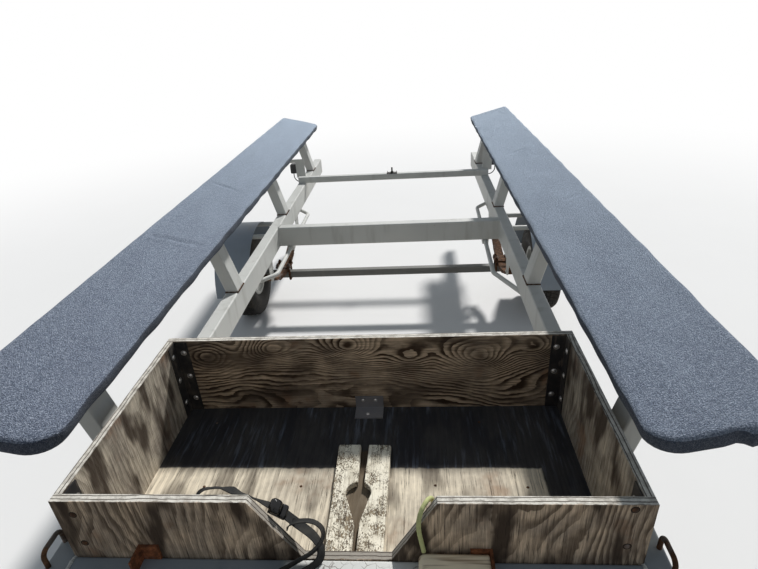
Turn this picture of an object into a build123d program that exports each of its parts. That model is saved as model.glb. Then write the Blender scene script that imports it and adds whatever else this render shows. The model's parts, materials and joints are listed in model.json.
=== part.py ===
from build123d import *
import os
from math import asin, atan2, cos, degrees, pi, radians, sin, tan

# Single-axle bunk boat trailer with a plywood storage box between the front ends of its rails.
# Millimetres and degrees. X runs across the trailer, -Y is the coupler end, Z is up from the ground.
# The origin lies on the ground, midway along the trailer and midway between its wheels.

os.makedirs("parts", exist_ok=True)

# Main frame
rail_length = 3285.0
tongue_reach = 1495.0
frame_width = 1220.0
frame_top = 580.0
rail_tube_width = 50.8
rail_tube_height = 101.6
tube_wall = 3.2
tube_corner = 6.0
tongue_size = 76.2
tongue_wall = 4.8
rear_bar_size = 38.1
rear_bar_overhang = 5.0
bar_clip_width = 62.0
bar_clip_wall = 3.0
bar_clip_ear = 9.0
bar_clip_bolt = 10.0
bar_clip_bolt_height = 36.0
bar_clip_nut_radius = 9.0
bar_clip_nut_height = 8.0
mid_crossmember_from_front = 1865.0
rear_bar_from_front = 2655.0

# Storage box
box_length = 558.0
box_height = 260.0
ply = 18.0
box_clearance = 0.3
notch_top_width = 352.0
notch_bottom_width = 173.0
corner_angle_leg = 38.0
corner_angle_wall = 3.0
cleat_length = 60.0
cleat_wall = 6.0
cleat_from_box_end = 80.0
clip_width = 81.0
clip_up = 42.0
clip_along = 50.0
clip_wall = 3.0

# Worn boards on the box floor, with a drop-shaped hole shared between them
chock_width = 60.0
chock_length = 351.0
chock_thickness = 19.0
chock_from_panel = 4.0
chock_front_gap = 6.0
chock_rear_gap = 20.0
drop_radius = 30.0
drop_offset = -4.0
drop_centre_from_front = 195.0
drop_tip_from_front = 95.0

# Angle pieces and the loose-grained wood block on the front crossmember
stop_angle_leg = 41.0
stop_angle_wall = 5.0
stop_angle_height = 38.0
stop_angle_left_edge = -415.0
stop_angle_right_edge = 278.0
block_length = 135.0
block_depth = 43.0
block_height = 34.0
block_worn_edge = 14.0
block_worn_corner = 8.0

# Tie-down loops on the rails
loop_rod = 10.0
loop_span = 58.0
loop_height = 38.0
loop_from_front = 55.0

# Bent brace tubes below the frame: the left one turns to its rail sooner than the right one
brace_diameter = 20.0
left_brace_offset = 508.0
left_brace_bend_from_front = 1555.0
left_brace_lead = 70.0
right_brace_offset = 485.0
right_brace_bend_from_front = 1512.0
right_brace_lead = 205.0
brace_rear_offset = 508.0
brace_rear_bend_from_front = 2382.0
brace_tail = 85.0
brace_tab_width = 30.0
brace_tab_height = 25.0

# Bunks and their posts
bunk_length = 3100.0
bunk_width = 250.0
bunk_thickness = 44.0
bunk_from_front = 75.0
bunk_spacing = 1330.0
bunk_rise = 264.0
bunk_tilt = 14.0
bunk_front_corner = 60.0
bunk_rear_corner = 25.0
post_width = 49.0
post_depth = 76.2
post_lean = 14.3
first_post_from_front = 285.0
post_pitch = 890.0
posts_per_side = 4

# Axle and springs
axle_from_front = 2041.0
axle_beam_size = 38.1
spindle_diameter = 25.4
spindle_root_diameter = 34.0
spring_outboard = 23.0
spring_span = 660.0
spring_rise = 92.0
spring_width = 44.5
leaf_thickness = 7.0
spring_pad = 8.0
eye_outer = 17.0
eye_pin = 14.0
eye_clearance = 3.0
hanger_wall = 5.0
hanger_top_length = 80.0
clamp_rod = 12.0
clamp_side_gap = 2.0
clamp_plate = 8.0
clamp_rod_end = 18.0

# Wheels
tyre_diameter = 470.0
tyre_width = 145.0
tyre_shoulder = 6.0
wheel_track = 1640.0
rim_radius = 101.0
rim_width = 108.0
rim_flange = 12.5
rim_wall = 3.0
rim_well_depth = 12.0
disc_wall = 4.0
disc_dish = 10.0
hub_radius = 30.0
hub_flange_radius = 62.0
hub_flange_wall = 10.0
hub_back_length = 50.0
hub_front_length = 30.0
hub_cap_radius = 22.0
hub_cap_length = 22.0
running_gap = 0.3

# Fenders
fender_radius = 300.0
fender_width = 184.0
fender_inner_edge = 722.0
fender_skin = 2.0
fender_lip = 12.0
fender_end_height = 245.0
fender_arm_diameter = 25.4
fender_arm_angle = 19.2

# Lamps behind the rear bar
lamp_from_front = 2800.0
lamp_bracket_inset = 25.0
lamp_bracket_reach = 34.0
lamp_bracket_rise = 122.0
lamp_bracket_arm = 22.0
lamp_bracket_wall = 3.0
lamp_centre_reach = 47.0
lamp_centre_rise = 58.0
lamp_width = 52.0
lamp_height = 60.0
lamp_depth = 40.0
lamp_corner = 8.0
lead_diameter = 6.0
lead_offset = 11.0
lead_drop = 63.0
lead_bend = 42.0

# Rope and strap left hanging over the front panel, and the strap's buckle
rope_diameter = 9.0
strap_core = 6.0
buckle_length = 38.0
buckle_height = 21.0
buckle_width = 26.0
buckle_rounding = 4.0

# Coupler
ball_radius = 25.9
coupler_length = 285.0
coupler_wall = 4.5
coupler_neck_length = 30.0
coupler_neck_drop = 6.0
socket_depth = 44.0
nose_radius = 38.0
latch_width = 28.0
latch_foot = 54.0
latch_height = 42.0
latch_wall = 16.0

# Winch post
winch_post_size = 63.5
winch_post_from_front = 380.0
winch_post_height = 400.0
winch_width = 120.0
winch_length = 130.0
winch_height = 96.0
winch_plate = 6.0
winch_sheet = 4.0
winch_corner = 28.0
winch_shaft_radius = 6.0
drum_below_top = 40.0
drum_radius = 16.0
drum_flange_radius = 38.0
drum_flange_wall = 4.0
drum_side_gap = 4.0
wound_strap_radius = 30.0
wound_strap_inset = 16.0
winch_crank_reach = 152.0
winch_crank_width = 22.0
winch_crank_wall = 5.0
crank_handle_radius = 12.0
crank_handle_length = 86.0
bow_stop_width = 110.0
bow_stop_height = 90.0
bow_stop_depth = 62.0
bow_stop_web = 26.0
bow_stop_lip = 16.0
bow_stop_from_top = 20.0

# Tongue jack
jack_from_nose = 640.0
jack_offset = 114.0
jack_pivot_height = 440.0
jack_tube_diameter = 57.0
jack_tube_bottom = 385.0
jack_tube_top = 800.0
jack_leg_diameter = 47.2
jack_leg_top = 545.0
jack_tube_wall = 4.5
jack_mount_length = 130.0
jack_mount_wall = 6.0
jack_mount_corner = 8.0
jack_boss_radius = 34.0
jack_boss_length = 26.0
jack_head_height = 34.0
jack_head_overhang = 4.0
jack_shaft_radius = 9.0
jack_shaft_height = 26.0
jack_crank_reach = 122.0
jack_crank_width = 20.0
jack_crank_wall = 6.0
jack_crank_handle_radius = 11.0
jack_crank_handle_length = 80.0
handle_rounding = 5.0
caster_trail = 30.0
caster_wheel_diameter = 150.0
caster_wheel_width = 38.0
caster_fork_wall = 4.0
caster_crown_gap = 20.0
caster_crown_height = 6.0
caster_side_gap = 3.0
caster_cheek_radius = 16.0
caster_bolt_radius = 6.0

# Places worked out from the sizes above
overall_length = rail_length + tongue_reach
rear_end = overall_length / 2
nose = -overall_length / 2
rail_front = rear_end - rail_length
rail_x = (frame_width - rail_tube_width) / 2
rail_inner = frame_width / 2 - rail_tube_width
frame_bottom = frame_top - rail_tube_height
rail_mid_z = frame_top - rail_tube_height / 2
box_front = rail_front + rail_tube_width + box_clearance
box_rear = box_front + box_length
box_half = rail_inner - box_clearance
box_top = frame_bottom + box_height
floor_top = frame_bottom + ply
axle_y = rail_front + axle_from_front
wheel_z = tyre_diameter / 2
beam_top = wheel_z + axle_beam_size / 2
wheel_x = wheel_track / 2
spring_x = rail_x + spring_outboard
jack_y = nose + jack_from_nose
jack_x = -tongue_size / 2 - jack_offset

sides = (("left", -1), ("right", 1))


def save(builder, name):
    """Label a finished sub-part and write it as one STEP file."""
    builder.part.label = name
    export_step(builder.part, f"parts/{name}.step")


def tube_profile(width, height, wall):
    """Draw a rounded rectangular tube in the open sketch."""
    RectangleRounded(width, height, tube_corner)
    RectangleRounded(width - 2 * wall, height - 2 * wall, tube_corner - wall, mode=Mode.SUBTRACT)


def cross_section(y):
    """Plane across the trailer at y, with its normal towards the coupler."""
    return Plane.XZ.offset(-y)


def aligned(sign):
    """Alignment that makes a rectangle grow from its location along the given sign."""
    return Align.MIN if sign > 0 else Align.MAX


# Rails
for name, side in sides:
    with BuildPart() as rail:
        with BuildSketch(cross_section(rear_end)):
            with Locations((side * rail_x, rail_mid_z)):
                tube_profile(rail_tube_width, rail_tube_height, tube_wall)
        extrude(amount=rail_length)
    save(rail, f"rail_{name}")

# Crossmembers between the rails: name, y of the front face
box_crossmember_y = box_rear + box_clearance
mid_crossmember_y = rail_front + mid_crossmember_from_front
crossmembers = (
    ("front_crossmember", rail_front),
    ("box_crossmember", box_crossmember_y),
    ("mid_crossmember", mid_crossmember_y),
)
for name, front in crossmembers:
    with BuildPart() as crossmember:
        with BuildSketch(Plane.YZ):
            with Locations((front + rail_tube_width / 2, rail_mid_z)):
                tube_profile(rail_tube_width, rail_tube_height, tube_wall)
        extrude(amount=rail_inner, both=True)
    save(crossmember, name)

# Thin rear bar lying across the rail tops
rear_bar_y = rail_front + rear_bar_from_front + rear_bar_size / 2
rear_bar_top = frame_top + rear_bar_size
with BuildPart() as rear_bar:
    with BuildSketch(Plane.YZ):
        with Locations((rear_bar_y, frame_top + rear_bar_size / 2)):
            tube_profile(rear_bar_size, rear_bar_size, tube_wall)
    extrude(amount=frame_width / 2 - rear_bar_overhang, both=True)
save(rear_bar, "rear_bar")

# Small folded bracket with a bolt, at the middle of the rear bar
with BuildPart() as bar_clip:
    with BuildSketch(Plane.XY.offset(rear_bar_top)):
        with Locations((0, rear_bar_y)):
            Rectangle(bar_clip_width, rear_bar_size)
    extrude(amount=bar_clip_wall)
    for side in (-1, 1):
        with BuildSketch(Plane.YZ.offset(side * (bar_clip_width - bar_clip_wall) / 2)):
            with Locations((rear_bar_y, rear_bar_top)):
                Rectangle(rear_bar_size, bar_clip_ear, align=(Align.CENTER, Align.MIN))
        extrude(amount=bar_clip_wall / 2, both=True)
    for radius, height in (
        (bar_clip_bolt / 2, bar_clip_bolt_height),
        (bar_clip_nut_radius, bar_clip_wall + bar_clip_nut_height),
    ):
        with BuildSketch(Plane.XY.offset(rear_bar_top)):
            with Locations((0, rear_bar_y)):
                Circle(radius)
        extrude(amount=height)
save(bar_clip, "bar_clip")

# Tongue tube below the crossmembers
tongue_front = nose + coupler_length / 2
tongue_rear = box_crossmember_y + rail_tube_width
tongue_z = frame_bottom - tongue_size / 2
with BuildPart() as tongue_tube:
    with BuildSketch(cross_section(tongue_rear)):
        with Locations((0, tongue_z)):
            tube_profile(tongue_size, tongue_size, tongue_wall)
    extrude(amount=tongue_rear - tongue_front)
save(tongue_tube, "tongue_tube")

# Flat cleats welded below the rails, which carry the edges of the box
cleat_width = rail_tube_width + corner_angle_leg
with BuildPart() as floor_cleats:
    with BuildSketch(Plane.XY.offset(frame_bottom)):
        for y in (box_front + cleat_from_box_end, box_rear - cleat_from_box_end):
            for _, side in sides:
                with Locations((side * (frame_width / 2 - cleat_width / 2), y)):
                    Rectangle(cleat_width, cleat_length)
    extrude(amount=-cleat_wall)
save(floor_cleats, "floor_cleats")

# Storage box: floor, side walls, rear wall and the notched front panel
box_inner_front = box_front + ply
box_inner_rear = box_rear - ply
box_inner_half = box_half - ply
box_inner_length = box_inner_rear - box_inner_front
box_mid_y = (box_front + box_rear) / 2
with BuildPart() as box_floor:
    with BuildSketch(Plane.XY.offset(frame_bottom)):
        with Locations((0, box_mid_y)):
            Rectangle(2 * box_inner_half, box_inner_length)
    extrude(amount=ply)
save(box_floor, "box_floor")

with BuildPart() as box_side_walls:
    with BuildSketch(Plane.XY.offset(frame_bottom)):
        for _, side in sides:
            with Locations((side * (box_half - ply / 2), box_mid_y)):
                Rectangle(ply, box_inner_length)
    extrude(amount=box_height)
save(box_side_walls, "box_side_walls")

with BuildPart() as box_rear_wall:
    with BuildSketch(cross_section(box_rear)):
        with Locations((0, frame_bottom)):
            Rectangle(2 * box_half, box_height, align=(Align.CENTER, Align.MIN))
    extrude(amount=ply)
save(box_rear_wall, "box_rear_wall")

with BuildPart() as box_front_panel:
    with BuildSketch(cross_section(box_inner_front)):
        with Locations((0, frame_bottom)):
            Rectangle(2 * box_half, box_height, align=(Align.CENTER, Align.MIN))
        with BuildLine():
            Polyline(
                (-notch_bottom_width / 2, frame_top),
                (notch_bottom_width / 2, frame_top),
                (notch_top_width / 2, box_top),
                (-notch_top_width / 2, box_top),
                close=True,
            )
        make_face(mode=Mode.SUBTRACT)
    extrude(amount=ply)
save(box_front_panel, "box_front_panel")

# Steel angles in the four inner corners of the box
with BuildPart() as corner_angles:
    with BuildSketch(Plane.XY.offset(floor_top)):
        for corner_y, along in ((box_inner_front, 1), (box_inner_rear, -1)):
            for _, side in sides:
                with Locations((side * box_inner_half, corner_y)):
                    grow = (aligned(-side), aligned(along))
                    Rectangle(corner_angle_leg, corner_angle_wall, align=grow)
                    Rectangle(corner_angle_wall, corner_angle_leg, align=grow)
    extrude(amount=box_top - floor_top - corner_angle_wall)
save(corner_angles, "corner_angles")

# Clip that ties the middle of the rear wall to the floor
with BuildPart() as floor_clip:
    with BuildSketch(Plane.YZ):
        with Locations((box_inner_rear, floor_top)):
            grow = (Align.MAX, Align.MIN)
            Rectangle(clip_along, clip_wall, align=grow)
            Rectangle(clip_wall, clip_up, align=grow)
    extrude(amount=clip_width / 2, both=True)
save(floor_clip, "floor_clip")

# Two worn boards side by side on the box floor
chock_front = box_inner_front + chock_from_panel
chock_rear = chock_front + chock_length
drop_y = chock_front + drop_centre_from_front
with BuildPart() as chock_boards:
    with BuildSketch(Plane.XY.offset(floor_top)):
        for _, side in sides:
            with BuildLine():
                Polyline(
                    (side * chock_front_gap / 2, chock_front),
                    (side * (chock_front_gap / 2 + chock_width), chock_front),
                    (side * (chock_rear_gap / 2 + chock_width), chock_rear),
                    (side * chock_rear_gap / 2, chock_rear),
                    close=True,
                )
            make_face()
        with Locations((drop_offset, drop_y)):
            Circle(drop_radius, mode=Mode.SUBTRACT)
        with BuildLine():
            Polyline(
                (drop_offset - drop_radius, drop_y),
                (drop_offset + drop_radius, drop_y),
                (0, chock_front + drop_tip_from_front),
                close=True,
            )
        make_face(mode=Mode.SUBTRACT)
    extrude(amount=chock_thickness)
save(chock_boards, "chock_boards")

# Two short angles standing on the front crossmember against the box panel
stop_y = rail_front + rail_tube_width
stop_edges = ((stop_angle_left_edge, 1), (stop_angle_right_edge, -1))
with BuildPart() as stop_angles:
    with BuildSketch(Plane.XY.offset(frame_top)):
        for edge, inward in stop_edges:
            with Locations((edge, stop_y)):
                grow = (aligned(inward), Align.MAX)
                Rectangle(stop_angle_leg, stop_angle_wall, align=grow)
                Rectangle(stop_angle_wall, stop_angle_leg, align=grow)
    extrude(amount=stop_angle_height)
save(stop_angles, "stop_angles")

# Wood block lying in the right-hand angle
block_right = stop_angle_right_edge - stop_angle_wall
block_rear = stop_y - stop_angle_wall
with BuildPart() as wood_block:
    with BuildSketch(Plane.XY.offset(frame_top)):
        with Locations((block_right, block_rear)):
            Rectangle(block_length, block_depth, align=(Align.MAX, Align.MAX))
    extrude(amount=block_height)
    fillet(wood_block.edges().filter_by(Axis.Y).group_by(Axis.X)[0].sort_by(Axis.Z)[-1], block_worn_edge)
    fillet(wood_block.edges().filter_by(Axis.Z).group_by(Axis.X)[0], block_worn_corner)
save(wood_block, "wood_block")

# Bent-rod tie-down loops standing on the rails beside the box
loop_y = rail_front + loop_from_front
loop_x = frame_width / 2 - loop_rod
with BuildPart() as tie_loops:
    for _, side in sides:
        with BuildLine(Plane.YZ.offset(side * loop_x)) as loop_path:
            FilletPolyline(
                (loop_y - loop_span / 2, frame_top),
                (loop_y - loop_span / 2, frame_top + loop_height),
                (loop_y + loop_span / 2, frame_top + loop_height),
                (loop_y + loop_span / 2, frame_top),
                radius=loop_rod * 1.5,
            )
        with BuildSketch(Plane(origin=loop_path.line @ 0, z_dir=loop_path.line % 0)):
            Circle(loop_rod / 2)
        sweep(path=loop_path.line)
save(tie_loops, "tie_loops")

# Bent brace tubes that end below the rails, each held by a tab under the mid crossmember
brace_z = frame_bottom - brace_diameter / 2
brace_end_x = rail_inner + brace_diameter
brace_rear_bend = rail_front + brace_rear_bend_from_front
tab_y = mid_crossmember_y + rail_tube_width / 2
braces = (
    # side, x of the front bend, y of the front bend, lead from the rail
    (-1, left_brace_offset, rail_front + left_brace_bend_from_front, left_brace_lead),
    (1, right_brace_offset, rail_front + right_brace_bend_from_front, right_brace_lead),
)
with BuildPart() as brace_tubes:
    for side, offset, front_bend, lead in braces:
        with BuildLine(Plane.XY.offset(brace_z)) as brace_path:
            FilletPolyline(
                (side * brace_end_x, front_bend - lead),
                (side * offset, front_bend),
                (side * brace_rear_offset, brace_rear_bend),
                (side * brace_end_x, brace_rear_bend + brace_tail),
                radius=brace_diameter * 3,
            )
        with BuildSketch(Plane(origin=brace_path.line @ 0, z_dir=brace_path.line % 0)):
            Circle(brace_diameter / 2)
        sweep(path=brace_path.line)
        share = (tab_y - front_bend) / (brace_rear_bend - front_bend)
        tab_x = side * (offset + share * (brace_rear_offset - offset))
        with BuildSketch(Plane.XY.offset(frame_bottom)):
            with Locations((tab_x, tab_y)):
                Rectangle(brace_tab_width, rail_tube_width - 2 * tube_corner)
        extrude(amount=-brace_tab_height)
save(brace_tubes, "brace_tubes")

# Bunks and the posts that carry them
bunk_y = rail_front + bunk_from_front + bunk_length / 2
for name, side in sides:
    underside = Plane(
        origin=(side * bunk_spacing / 2, bunk_y, frame_top + bunk_rise),
        x_dir=(0, 1, 0),
        z_dir=(-side * sin(radians(bunk_tilt)), 0, cos(radians(bunk_tilt))),
    )
    with BuildPart() as bunk_posts:
        for number in range(posts_per_side):
            y = rail_front + first_post_from_front + number * post_pitch + post_depth / 2
            foot = Plane(
                origin=(side * rail_x, y, frame_top),
                x_dir=(0, 1, 0),
                z_dir=(side * sin(radians(post_lean)), 0, cos(radians(post_lean))),
            )
            with BuildSketch(foot.offset(-post_width)):
                tube_profile(post_depth, post_width, tube_wall)
            extrude(amount=post_width + 2 * bunk_rise)
        split(bisect_by=Plane.XY.offset(frame_top), keep=Keep.TOP)
        split(bisect_by=underside, keep=Keep.BOTTOM)
    save(bunk_posts, f"bunk_posts_{name}")

    with BuildPart() as bunk:
        with BuildSketch(underside) as plan:
            Rectangle(bunk_length, bunk_width)
            fillet(plan.vertices().group_by(Axis.X)[0], bunk_front_corner)
            fillet(plan.vertices().group_by(Axis.X)[-1], bunk_rear_corner)
        extrude(amount=bunk_thickness)
    save(bunk, f"bunk_{name}")

# Straight axle: a square beam with a stepped spindle at each end
beam_half = wheel_x - hub_back_length - axle_beam_size / 2
spindle_steps = (
    # radius, reach from the trailer's middle
    (spindle_root_diameter / 2, wheel_x - hub_back_length - running_gap),
    (spindle_diameter / 2, wheel_x + hub_front_length - hub_flange_wall),
)
with BuildPart() as axle:
    with BuildSketch(Plane.YZ):
        with Locations((axle_y, wheel_z)):
            RectangleRounded(axle_beam_size, axle_beam_size, tube_corner)
    extrude(amount=beam_half, both=True)
    for radius, reach in spindle_steps:
        with BuildSketch(Plane.YZ):
            with Locations((axle_y, wheel_z)):
                Circle(radius)
        extrude(amount=reach, both=True)
save(axle, "axle")

# Leaf springs: a main leaf with rolled eyes and two shorter leaves below it
spring_base = beam_top + spring_pad
leaf_count = 3
spring_top = spring_base + leaf_count * leaf_thickness
half_span = spring_span / 2
spring_radius = (half_span**2 + spring_rise**2) / (2 * spring_rise)
spring_centre_z = spring_top + spring_radius
eye_z = spring_top + spring_rise
leaf_shortening = 0.26
with BuildPart() as leaf_springs:
    for _, side in sides:
        with BuildSketch(Plane.YZ.offset(side * spring_x)):
            for leaf in range(leaf_count):
                inner = spring_radius + leaf * leaf_thickness
                reach = degrees(asin(half_span / spring_radius)) * (1 - leaf_shortening * leaf)
                with BuildLine():
                    near = CenterArc((axle_y, spring_centre_z), inner, -90 - reach, 2 * reach)
                    outer = inner + leaf_thickness
                    far = CenterArc((axle_y, spring_centre_z), outer, -90 - reach, 2 * reach)
                    Line(near @ 0, far @ 0)
                    Line(near @ 1, far @ 1)
                make_face()
            with Locations((axle_y, beam_top)):
                pad_height = spring_pad + leaf_thickness / 2
                Rectangle(axle_beam_size, pad_height, align=(Align.CENTER, Align.MIN))
            with Locations((axle_y - half_span, eye_z), (axle_y + half_span, eye_z)):
                Circle(eye_outer)
                Circle(eye_pin / 2 + running_gap, mode=Mode.SUBTRACT)
        extrude(amount=spring_width / 2, both=True)
save(leaf_springs, "leaf_springs")

# Folded hangers below the rails, each with its spring pin
hanger_width = spring_width + 2 * hanger_wall + 2 * running_gap
hanger_clear = eye_outer + eye_clearance
with BuildPart() as spring_hangers:
    for _, side in sides:
        for eye_y in (axle_y - half_span, axle_y + half_span):
            with BuildSketch(Plane.YZ.offset(side * spring_x)):
                with BuildLine():
                    Polyline(
                        (eye_y - hanger_top_length / 2, frame_bottom),
                        (eye_y + hanger_top_length / 2, frame_bottom),
                        (eye_y + hanger_clear, eye_z),
                        (eye_y - hanger_clear, eye_z),
                        close=True,
                    )
                make_face()
                with Locations((eye_y, eye_z)):
                    Circle(hanger_clear)
            extrude(amount=hanger_width / 2, both=True)
            with BuildSketch(Plane.YZ.offset(side * spring_x)):
                with Locations((eye_y, frame_bottom - hanger_wall)):
                    slot_height = frame_bottom - hanger_wall - eye_z + 2 * hanger_clear
                    Rectangle(2 * hanger_top_length, slot_height, align=(Align.CENTER, Align.MAX))
            extrude(amount=spring_width / 2 + running_gap, both=True, mode=Mode.SUBTRACT)
            with BuildSketch(Plane.YZ.offset(side * spring_x)):
                with Locations((eye_y, eye_z)):
                    Circle(eye_pin / 2)
            extrude(amount=hanger_width / 2 + hanger_wall, both=True)
save(spring_hangers, "spring_hangers")

# Clamps: a plate over each spring and two rods bent round the axle beam
clamp_half_y = axle_beam_size / 2 + clamp_rod / 2 + running_gap
clamp_x = spring_width / 2 + clamp_rod / 2 + clamp_side_gap
plate_half = clamp_half_y + clamp_rod
plate_z = spring_top + plate_half**2 / (2 * spring_radius) + running_gap
clamp_bottom = wheel_z - axle_beam_size / 2 - clamp_rod / 2 - running_gap
clamp_top = plate_z + clamp_plate + clamp_rod_end
with BuildPart() as spring_clamps:
    for _, side in sides:
        with BuildSketch(Plane.XY.offset(plate_z)):
            with Locations((side * spring_x, axle_y)):
                RectangleRounded(2 * clamp_x + 2 * clamp_rod, 2 * plate_half, tube_corner)
        extrude(amount=clamp_plate)
        for offset_x in (-clamp_x, clamp_x):
            with BuildLine(Plane.YZ.offset(side * spring_x + offset_x)) as clamp_path:
                FilletPolyline(
                    (axle_y - clamp_half_y, clamp_top),
                    (axle_y - clamp_half_y, clamp_bottom),
                    (axle_y + clamp_half_y, clamp_bottom),
                    (axle_y + clamp_half_y, clamp_top),
                    radius=clamp_rod * 0.6,
                )
            with BuildSketch(Plane(origin=clamp_path.line @ 0, z_dir=clamp_path.line % 0)):
                Circle(clamp_rod / 2)
            sweep(path=clamp_path.line)
save(spring_clamps, "spring_clamps")

# Wheels: tyre, rim and hub on each side
rim_half = rim_width / 2
bead_radius = rim_radius + running_gap
bead_half = rim_half - rim_wall - running_gap
tyre_radius = tyre_diameter / 2
tyre_half = tyre_width / 2
shoulder_half = tyre_half * 0.78
bulge_radius = (bead_radius + tyre_radius) / 2
well_radius = rim_radius - rim_well_depth
well_bottom = well_radius - rim_wall
disc_edge = (hub_flange_radius + well_bottom) / 2
hub_bore = spindle_diameter / 2 + running_gap
cap_front = hub_front_length + hub_cap_length


def wheel_point(side, x, radius):
    """Point of a wheel profile: x outwards from the wheel's middle plane, and a radius."""
    return (side * (wheel_x + x), wheel_z + radius)


def wheel_outline(side, profile):
    """Closed outline of a wheel profile, from rows of x and radius."""
    Polyline(*[wheel_point(side, x, radius) for x, radius in profile], close=True)


rim_profile = (
    # x, radius
    (-rim_half, rim_radius - rim_wall),
    (-rim_half, rim_radius + rim_flange),
    (-rim_half + rim_wall, rim_radius + rim_flange),
    (-rim_half + rim_wall, rim_radius),
    (-rim_half * 0.5, rim_radius),
    (-rim_half * 0.35, well_radius),
    (rim_half * 0.2, well_radius),
    (rim_half * 0.35, rim_radius),
    (rim_half - rim_wall, rim_radius),
    (rim_half - rim_wall, rim_radius + rim_flange),
    (rim_half, rim_radius + rim_flange),
    (rim_half, rim_radius - rim_wall),
    (rim_half * 0.35 + rim_wall, rim_radius - rim_wall),
    (rim_half * 0.2 + rim_wall, well_bottom),
    (-rim_half * 0.35 - rim_wall, well_bottom),
    (-rim_half * 0.5 - rim_wall, rim_radius - rim_wall),
)
disc_profile = (
    # x, radius
    (0, hub_radius + running_gap),
    (0, hub_flange_radius),
    (disc_dish, disc_edge),
    (0, well_bottom),
    (disc_wall, well_bottom),
    (disc_dish + disc_wall, disc_edge),
    (disc_wall, hub_flange_radius),
    (disc_wall, hub_radius + running_gap),
)
hub_profile = (
    # x, radius
    (-hub_back_length, hub_bore),
    (-hub_back_length, hub_radius),
    (-hub_flange_wall, hub_radius),
    (-hub_flange_wall, hub_flange_radius),
    (0, hub_flange_radius),
    (0, hub_radius),
    (hub_front_length, hub_radius),
    (hub_front_length, hub_cap_radius),
    (cap_front - hub_cap_radius / 4, hub_cap_radius),
    (cap_front, hub_cap_radius * 0.75),
    (cap_front, 0),
    (hub_front_length, 0),
    (hub_front_length, hub_bore),
)
for name, side in sides:
    wheel_axis = Axis((0, axle_y, wheel_z), (1, 0, 0))
    with BuildPart() as tyre:
        with BuildSketch(cross_section(axle_y)):
            with BuildLine():
                flange_top = rim_radius + rim_flange + running_gap
                inner_bead = wheel_point(side, -bead_half, bead_radius)
                inner_wall = wheel_point(side, -bead_half, flange_top)
                inner_bulge = wheel_point(side, -tyre_half, bulge_radius)
                inner_shoulder = wheel_point(side, -shoulder_half, tyre_radius - tyre_shoulder)
                crown = wheel_point(side, 0, tyre_radius)
                outer_shoulder = wheel_point(side, shoulder_half, tyre_radius - tyre_shoulder)
                outer_bulge = wheel_point(side, tyre_half, bulge_radius)
                outer_wall = wheel_point(side, bead_half, flange_top)
                outer_bead = wheel_point(side, bead_half, bead_radius)
                Line(inner_bead, inner_wall)
                ThreePointArc(inner_wall, inner_bulge, inner_shoulder)
                ThreePointArc(inner_shoulder, crown, outer_shoulder)
                ThreePointArc(outer_shoulder, outer_bulge, outer_wall)
                Line(outer_wall, outer_bead)
                Line(outer_bead, inner_bead)
            make_face()
        revolve(axis=wheel_axis)
    save(tyre, f"tyre_{name}")

    with BuildPart() as rim:
        with BuildSketch(cross_section(axle_y)):
            for profile in (rim_profile, disc_profile):
                with BuildLine():
                    wheel_outline(side, profile)
                make_face()
        revolve(axis=wheel_axis)
    save(rim, f"rim_{name}")

    with BuildPart() as hub:
        with BuildSketch(cross_section(axle_y)):
            with BuildLine():
                wheel_outline(side, hub_profile)
            make_face()
        revolve(axis=wheel_axis)
    save(hub, f"hub_{name}")

# Round fenders
for name, side in sides:
    with BuildPart() as fender:
        for start, width, depth in (
            (fender_inner_edge, fender_width, fender_skin),
            (fender_inner_edge + fender_width - fender_skin, fender_skin, fender_lip),
        ):
            with BuildSketch(Plane.YZ.offset(side * start)):
                with Locations((axle_y, wheel_z)):
                    Circle(fender_radius)
                    Circle(fender_radius - depth, mode=Mode.SUBTRACT)
                with Locations((axle_y, fender_end_height)):
                    cut = 2 * fender_radius
                    Rectangle(2 * cut, cut, align=(Align.CENTER, Align.MAX), mode=Mode.SUBTRACT)
            extrude(amount=side * width)
    save(fender, f"fender_{name}")

# Straight arms that reach from the rails below the fender skins
arm_reach = fender_radius - fender_skin - fender_arm_diameter / 2 - running_gap
arm_dy = arm_reach * sin(radians(fender_arm_angle))
arm_z = wheel_z + arm_reach * cos(radians(fender_arm_angle))
with BuildPart() as fender_arms:
    for _, side in sides:
        with BuildSketch(Plane.YZ.offset(side * frame_width / 2)):
            with Locations((axle_y - arm_dy, arm_z), (axle_y + arm_dy, arm_z)):
                Circle(fender_arm_diameter / 2)
        extrude(amount=side * (fender_inner_edge + fender_width - 2 * fender_lip - frame_width / 2))
save(fender_arms, "fender_arms")

# Lamp brackets standing on the rails' outer edges, and the lamps behind their arms
lamp_y = rail_front + lamp_from_front
bracket_in = frame_width / 2 - lamp_bracket_inset
bracket_out = frame_width / 2 + lamp_bracket_reach
bracket_top = frame_top + lamp_bracket_rise
lamp_x = frame_width / 2 + lamp_centre_reach
lamp_z = frame_top + lamp_centre_rise
with BuildPart() as lamp_brackets:
    for _, side in sides:
        with BuildSketch(cross_section(lamp_y)):
            with BuildLine():
                Polyline(
                    (side * bracket_in, frame_top),
                    (side * bracket_out, frame_top),
                    (side * bracket_out, bracket_top - lamp_bracket_arm),
                    (side * (lamp_x + lamp_width / 2), bracket_top - lamp_bracket_arm),
                    (side * (lamp_x + lamp_width / 2), bracket_top),
                    (side * bracket_in, bracket_top),
                    close=True,
                )
            make_face()
        extrude(amount=lamp_bracket_wall)
save(lamp_brackets, "lamp_brackets")

with BuildPart() as lamps:
    for _, side in sides:
        with BuildSketch(cross_section(lamp_y)):
            with Locations((side * lamp_x, lamp_z)):
                RectangleRounded(lamp_width, lamp_height, lamp_corner)
        extrude(amount=-lamp_depth)
save(lamps, "lamps")

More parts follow.
